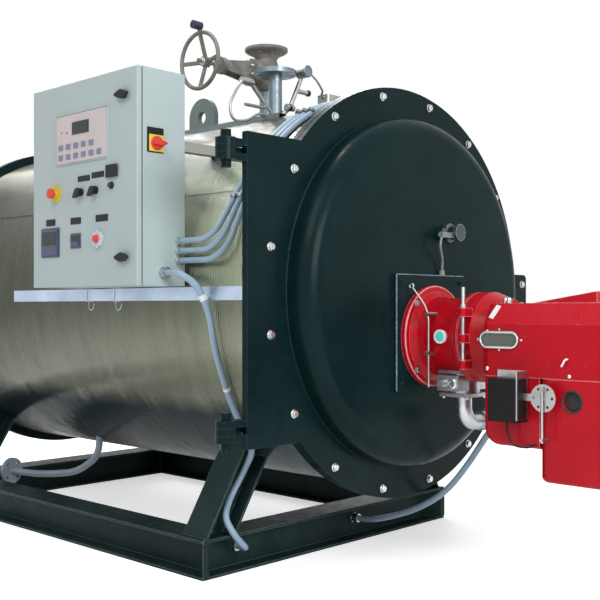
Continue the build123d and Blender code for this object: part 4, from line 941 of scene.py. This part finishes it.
casingScrews = {"places": ((-520, 0.945), (-520, 0.815), (-1150, 0.945), (-1150, 0.815), (-840, 0.800)),
                "head": ((0.0075, 0), (0.0075, 0.0012), (0.0055, 0.0032), (0.002, 0.0042))}


def makeCasingScrews(places, head):
    # domed heads on both sides of the casing
    parts = [solid(head, (side * casingSide, behind(distance), height), (side, 0, 0), 28)
             for side in (-1, 1) for distance, height in places]
    piece("casingScrews", parts, "front_door", "gland_metal", zinc)


makeCasingScrews(**casingScrews)

inspectionPort = {"place": (behind(-283), 0.922), "bezelX": -0.1465, "glassX": -0.1653, "radius": 0.0265}


def makeInspectionPort(place, bezelX, glassX, radius):
    # a pale bezel round a green-blue glass
    bezel = [(0.9, 0), (0.9, 0.012), (1, 0.013), (1, 0.019), (0.93, 0.0205), (0.74, 0.0205), (0.72, 0.019)]
    glass = [(0.72, 0), (0.70, 0.001), (0.3, 0.0016)]
    for name, profile, x, slotName, material in (
            ("inspectionBezel", bezel, bezelX, "switch_plastic", tiePlastic),
            ("inspectionGlass", glass, glassX, "window_glass", cyanGlass)):
        part = solid(np.array(profile) * (radius, 1), (x, *place), toLeft, 64)
        piece(name, [part], "front_door", slotName, material)


makeInspectionPort(**inspectionPort)

windowTrim = {"centre": (-0.2145, behind(-570), burnerAxis), "length": 0.160, "height": 0.062,
              "bar": (0.0042, 0.0025), "screws": ((-0.088, 0), (0.088, 0), (0, 0.036), (0, -0.036))}


def makeWindowTrim(centre, length, height, bar, screws):
    # a rounded bar carried along the oval, which is two half circles joined by straight runs, and its screws
    wide, deep = bar
    wave = circle(120)
    outline = (height / 2 - 0.0045) * wave
    outline[:, 0] += (length - height) / 2 * np.sign(wave[:, 0])
    rows = [np.insert(outline + wide * math.cos(angle) * wave, 0, -deep * math.sin(angle), axis=1)
            for angle in fullTurn(10)]
    parts = [((centre + np.stack(rows, 1)).reshape(-1, 3), gridFaces(120, 10, looped=True))]
    head = [(0.005, 0), (0.005, 0.001), (0.0036, 0.003), (0.001, 0.0036)]
    parts += [solid(head, (-casingSide, centre[1] + y, centre[2] + z), toLeft, 20) for y, z in screws]
    piece("windowTrim", parts, "front_door", "gland_metal", zinc)


makeWindowTrim(**windowTrim)

# the servo's black end cover, on the near side of its bracket
servoCover = {"centre": (-0.252, -2.1414, 0.718), "size": (0.055, 0.139, 0.0035), "corner": 0.003}
piece("servoCover", [plate(servoCover["centre"], toRight, toTop, *servoCover["size"], servoCover["corner"])],
      "front_door", "switch_plastic", blackPlastic)

casingHook = {"radius": 0.0034, "route": [
    (-casingSide, behind(-834), 0.858), (-0.220, behind(-834), 0.858), (-0.2235, behind(-831), 0.853),
    (-0.2235, behind(-826), 0.843), (-0.2235, behind(-820), 0.834)]}
smoothLine("casingHook", casingHook["route"], casingHook["radius"], "front_door", "gland_metal", tiePlastic)

airPort = {"place": (behind(-855), 0.717), "radius": 0.0335, "discX": -0.1972, "ringX": -0.2155}


def makeAirPort(place, radius, discX, ringX):
    # a dark disc in a round rim
    profile = [(radius, 0), (radius, 0.003), (radius * 0.8, 0.004), (radius * 0.5, 0.0035)]
    parts = [solid(profile, (discX, *place), toLeft, 64),
             ring((ringX, *place), toLeft, radius + 0.003, 0.0032, 72, 10)]
    piece("airPort", parts, "front_door", "switch_plastic", sealRubber)


makeAirPort(**airPort)

noseDetails = {"strip": (-0.1815, behind(-536), 1.0155), "size": (0.021, 0.056, 0.0012), "slope": (45, 73),
               "lean": -0.32, "nuts": ((-0.085, -520), (-0.150, -575)), "nutZ": 1.0470, "capZ": 1.0585}


def makeNoseDetails(strip, size, slope, lean, nuts, nutZ, capZ):
    # a bare metal strip on the casing's slope, and two cap nuts on its top
    run, rise = slope
    tilt = unit(unit((run, 0, rise)) + (0, lean, 0))
    out = unit((-rise, 0, run))
    bare = plate(strip + 0.0003 * out, np.cross(tilt, out), tilt, *size, 0.002)
    piece("noseStrip", [bare], "front_door", "gland_metal", tiePlastic)
    cap = [(0.0072, 0), (0.0068, 0.004), (0.0045, 0.008), (0.001, 0.0095)]
    parts = []
    for x, distance in nuts:
        parts += [*hexBolt((x, behind(distance), nutZ), toTop, 0.009, 0.010),
                  solid(cap, (x, behind(distance), capZ), toTop)]
    piece("noseNuts", parts, "front_door", "gland_metal", zinc)


makeNoseDetails(**noseDetails)

motorGrille = {"centre": (0.4053, behind(-850), 0.640), "radii": (0.018, 0.034, 0.050, 0.064),
               "screwX": (0.262, 0.328), "screwY": (behind(-880), behind(-820)), "screwZ": 0.7652}


def makeMotorGrille(centre, radii, screwX, screwY, screwZ):
    # rings round a hub on the motor's end, and the screws of its terminal box
    parts = [ring(centre, toRight, radius, 0.0022, 64, 8) for radius in radii]
    parts.append(solid([(0.010, 0), (0.010, 0.002), (0.006, 0.0028)], centre, toRight, 32))
    piece("motorGrille", parts, "front_door", "motor_grey")
    head = [(0.004, 0), (0.004, 0.001), (0.002, 0.003)]
    parts = [solid(head, (x, y, screwZ), toTop, 16) for x in screwX for y in screwY]
    piece("motorScrews", parts, "front_door", "gland_metal", zinc)


makeMotorGrille(**motorGrille)

gasScrews = {"middle": behind(-281), "low": 0.688, "half": (0.058, 0.054), "head": (0.0055, 0.006),
             "plug": (-0.1102, behind(-303), 0.742)}


def makeGasScrews(middle, low, half, head, plug):
    # four heads under the gas inlet, and the plug on its side
    wide, long = half
    places = [(x, middle + y, low) for x in (-wide, wide) for y in (-long, long)]
    cup = [(0.020, 0), (0.020, 0.006), (0.017, 0.008), (0.012, 0.008), (0.010, 0.005)]
    parts = bolts(places, toFloor, *head) + [solid(cup, plug, toLeft, 48)]
    piece("gasScrews", parts, "front_door", "gland_metal", zinc)


makeGasScrews(**gasScrews)
print("burner details done")


# valve and top of the drum

valveNuts = {"axis": (behind(818), 2.107), "radius": 0.0505, "near": -0.0740, "far": -0.1286,
             "wheel": -0.3872}


def makeValveNuts(axis, radius, near, far, wheel):
    # nuts with their studs' ends on both sides of the bonnet's flange, and the nut of the handwheel
    end = [(0.0038, 0), (0.0038, 0.003), (0.003, 0.004)]
    parts = []
    for x, way in ((near, 1), (far, -1)):
        for place in (x, *axis) + radius * outwards(8, toRight, 22.5):
            parts += [*hexBolt(place, (way, 0, 0), 0.0062, 0.0065, 1.25),
                      solid(end, place + (way * 0.0076, 0, 0), (way, 0, 0), 16)]
    piece("valveNuts", parts, "boiler", "gland_metal", zinc)
    piece("wheelNut", hexBolt((wheel, *axis), toLeft, 0.0125, 0.010, 1.3), "handwheel", "gland_metal", zinc)


makeValveNuts(**valveNuts)

switchBezel = {"centre": (-0.037, behind(608) - 0.0902, 2.074), "radius": 0.0265,
               "cap": (-0.0022, behind(558), 1.989), "nut": (-0.118, behind(562), 1.9085)}


def makeSwitchBezel(centre, radius, cap, nut):
    # bezel and face of the pressure switch, and the dark cap and nut of the cocks below it
    bezel = np.array([(1, 0), (1, 0.003), (0.92, 0.005), (0.8, 0.005), (0.78, 0.003), (0.3, 0.0034)])
    piece("switchBezel", [solid(bezel * (radius, 1), centre, toFront, 64)], "boiler", "galvanised")
    dome = [(0.0125, 0), (0.014, 0.003), (0.014, 0.014), (0.011, 0.018), (0.004, 0.019)]
    flats = [(0.0165, 0), (0.0175, 0.003), (0.0175, 0.015), (0.014, 0.018)]
    parts = [solid(dome, cap, toRight, 40), solid(flats, nut, toRight, 6)]
    piece("cockCaps", parts, "boiler", "switch_plastic")


makeSwitchBezel(**switchBezel)

padWelds = {"pad": (0, behind(818), 1.8885), "radius": 0.0325, "thick": 0.0035, "ripple": (0.15, 34),
            "eye": (0.014, behind(1264), 1.887), "eyeHalf": 0.094}


def makePadWelds(pad, radius, thick, ripple, eye, eyeHalf):
    # beads round the steam pad and along the lifting eye's foot
    parts = [ring(pad, toTop, radius, thick, 160, 8, *ripple)]
    side, y, z = eye
    parts += [bead((x, y - eyeHalf, z), (x, y + eyeHalf, z), thick) for x in (-side, side)]
    piece("padWelds", parts, "boiler", "lug_paint")


makePadWelds(**padWelds)
print("valve and top details done")
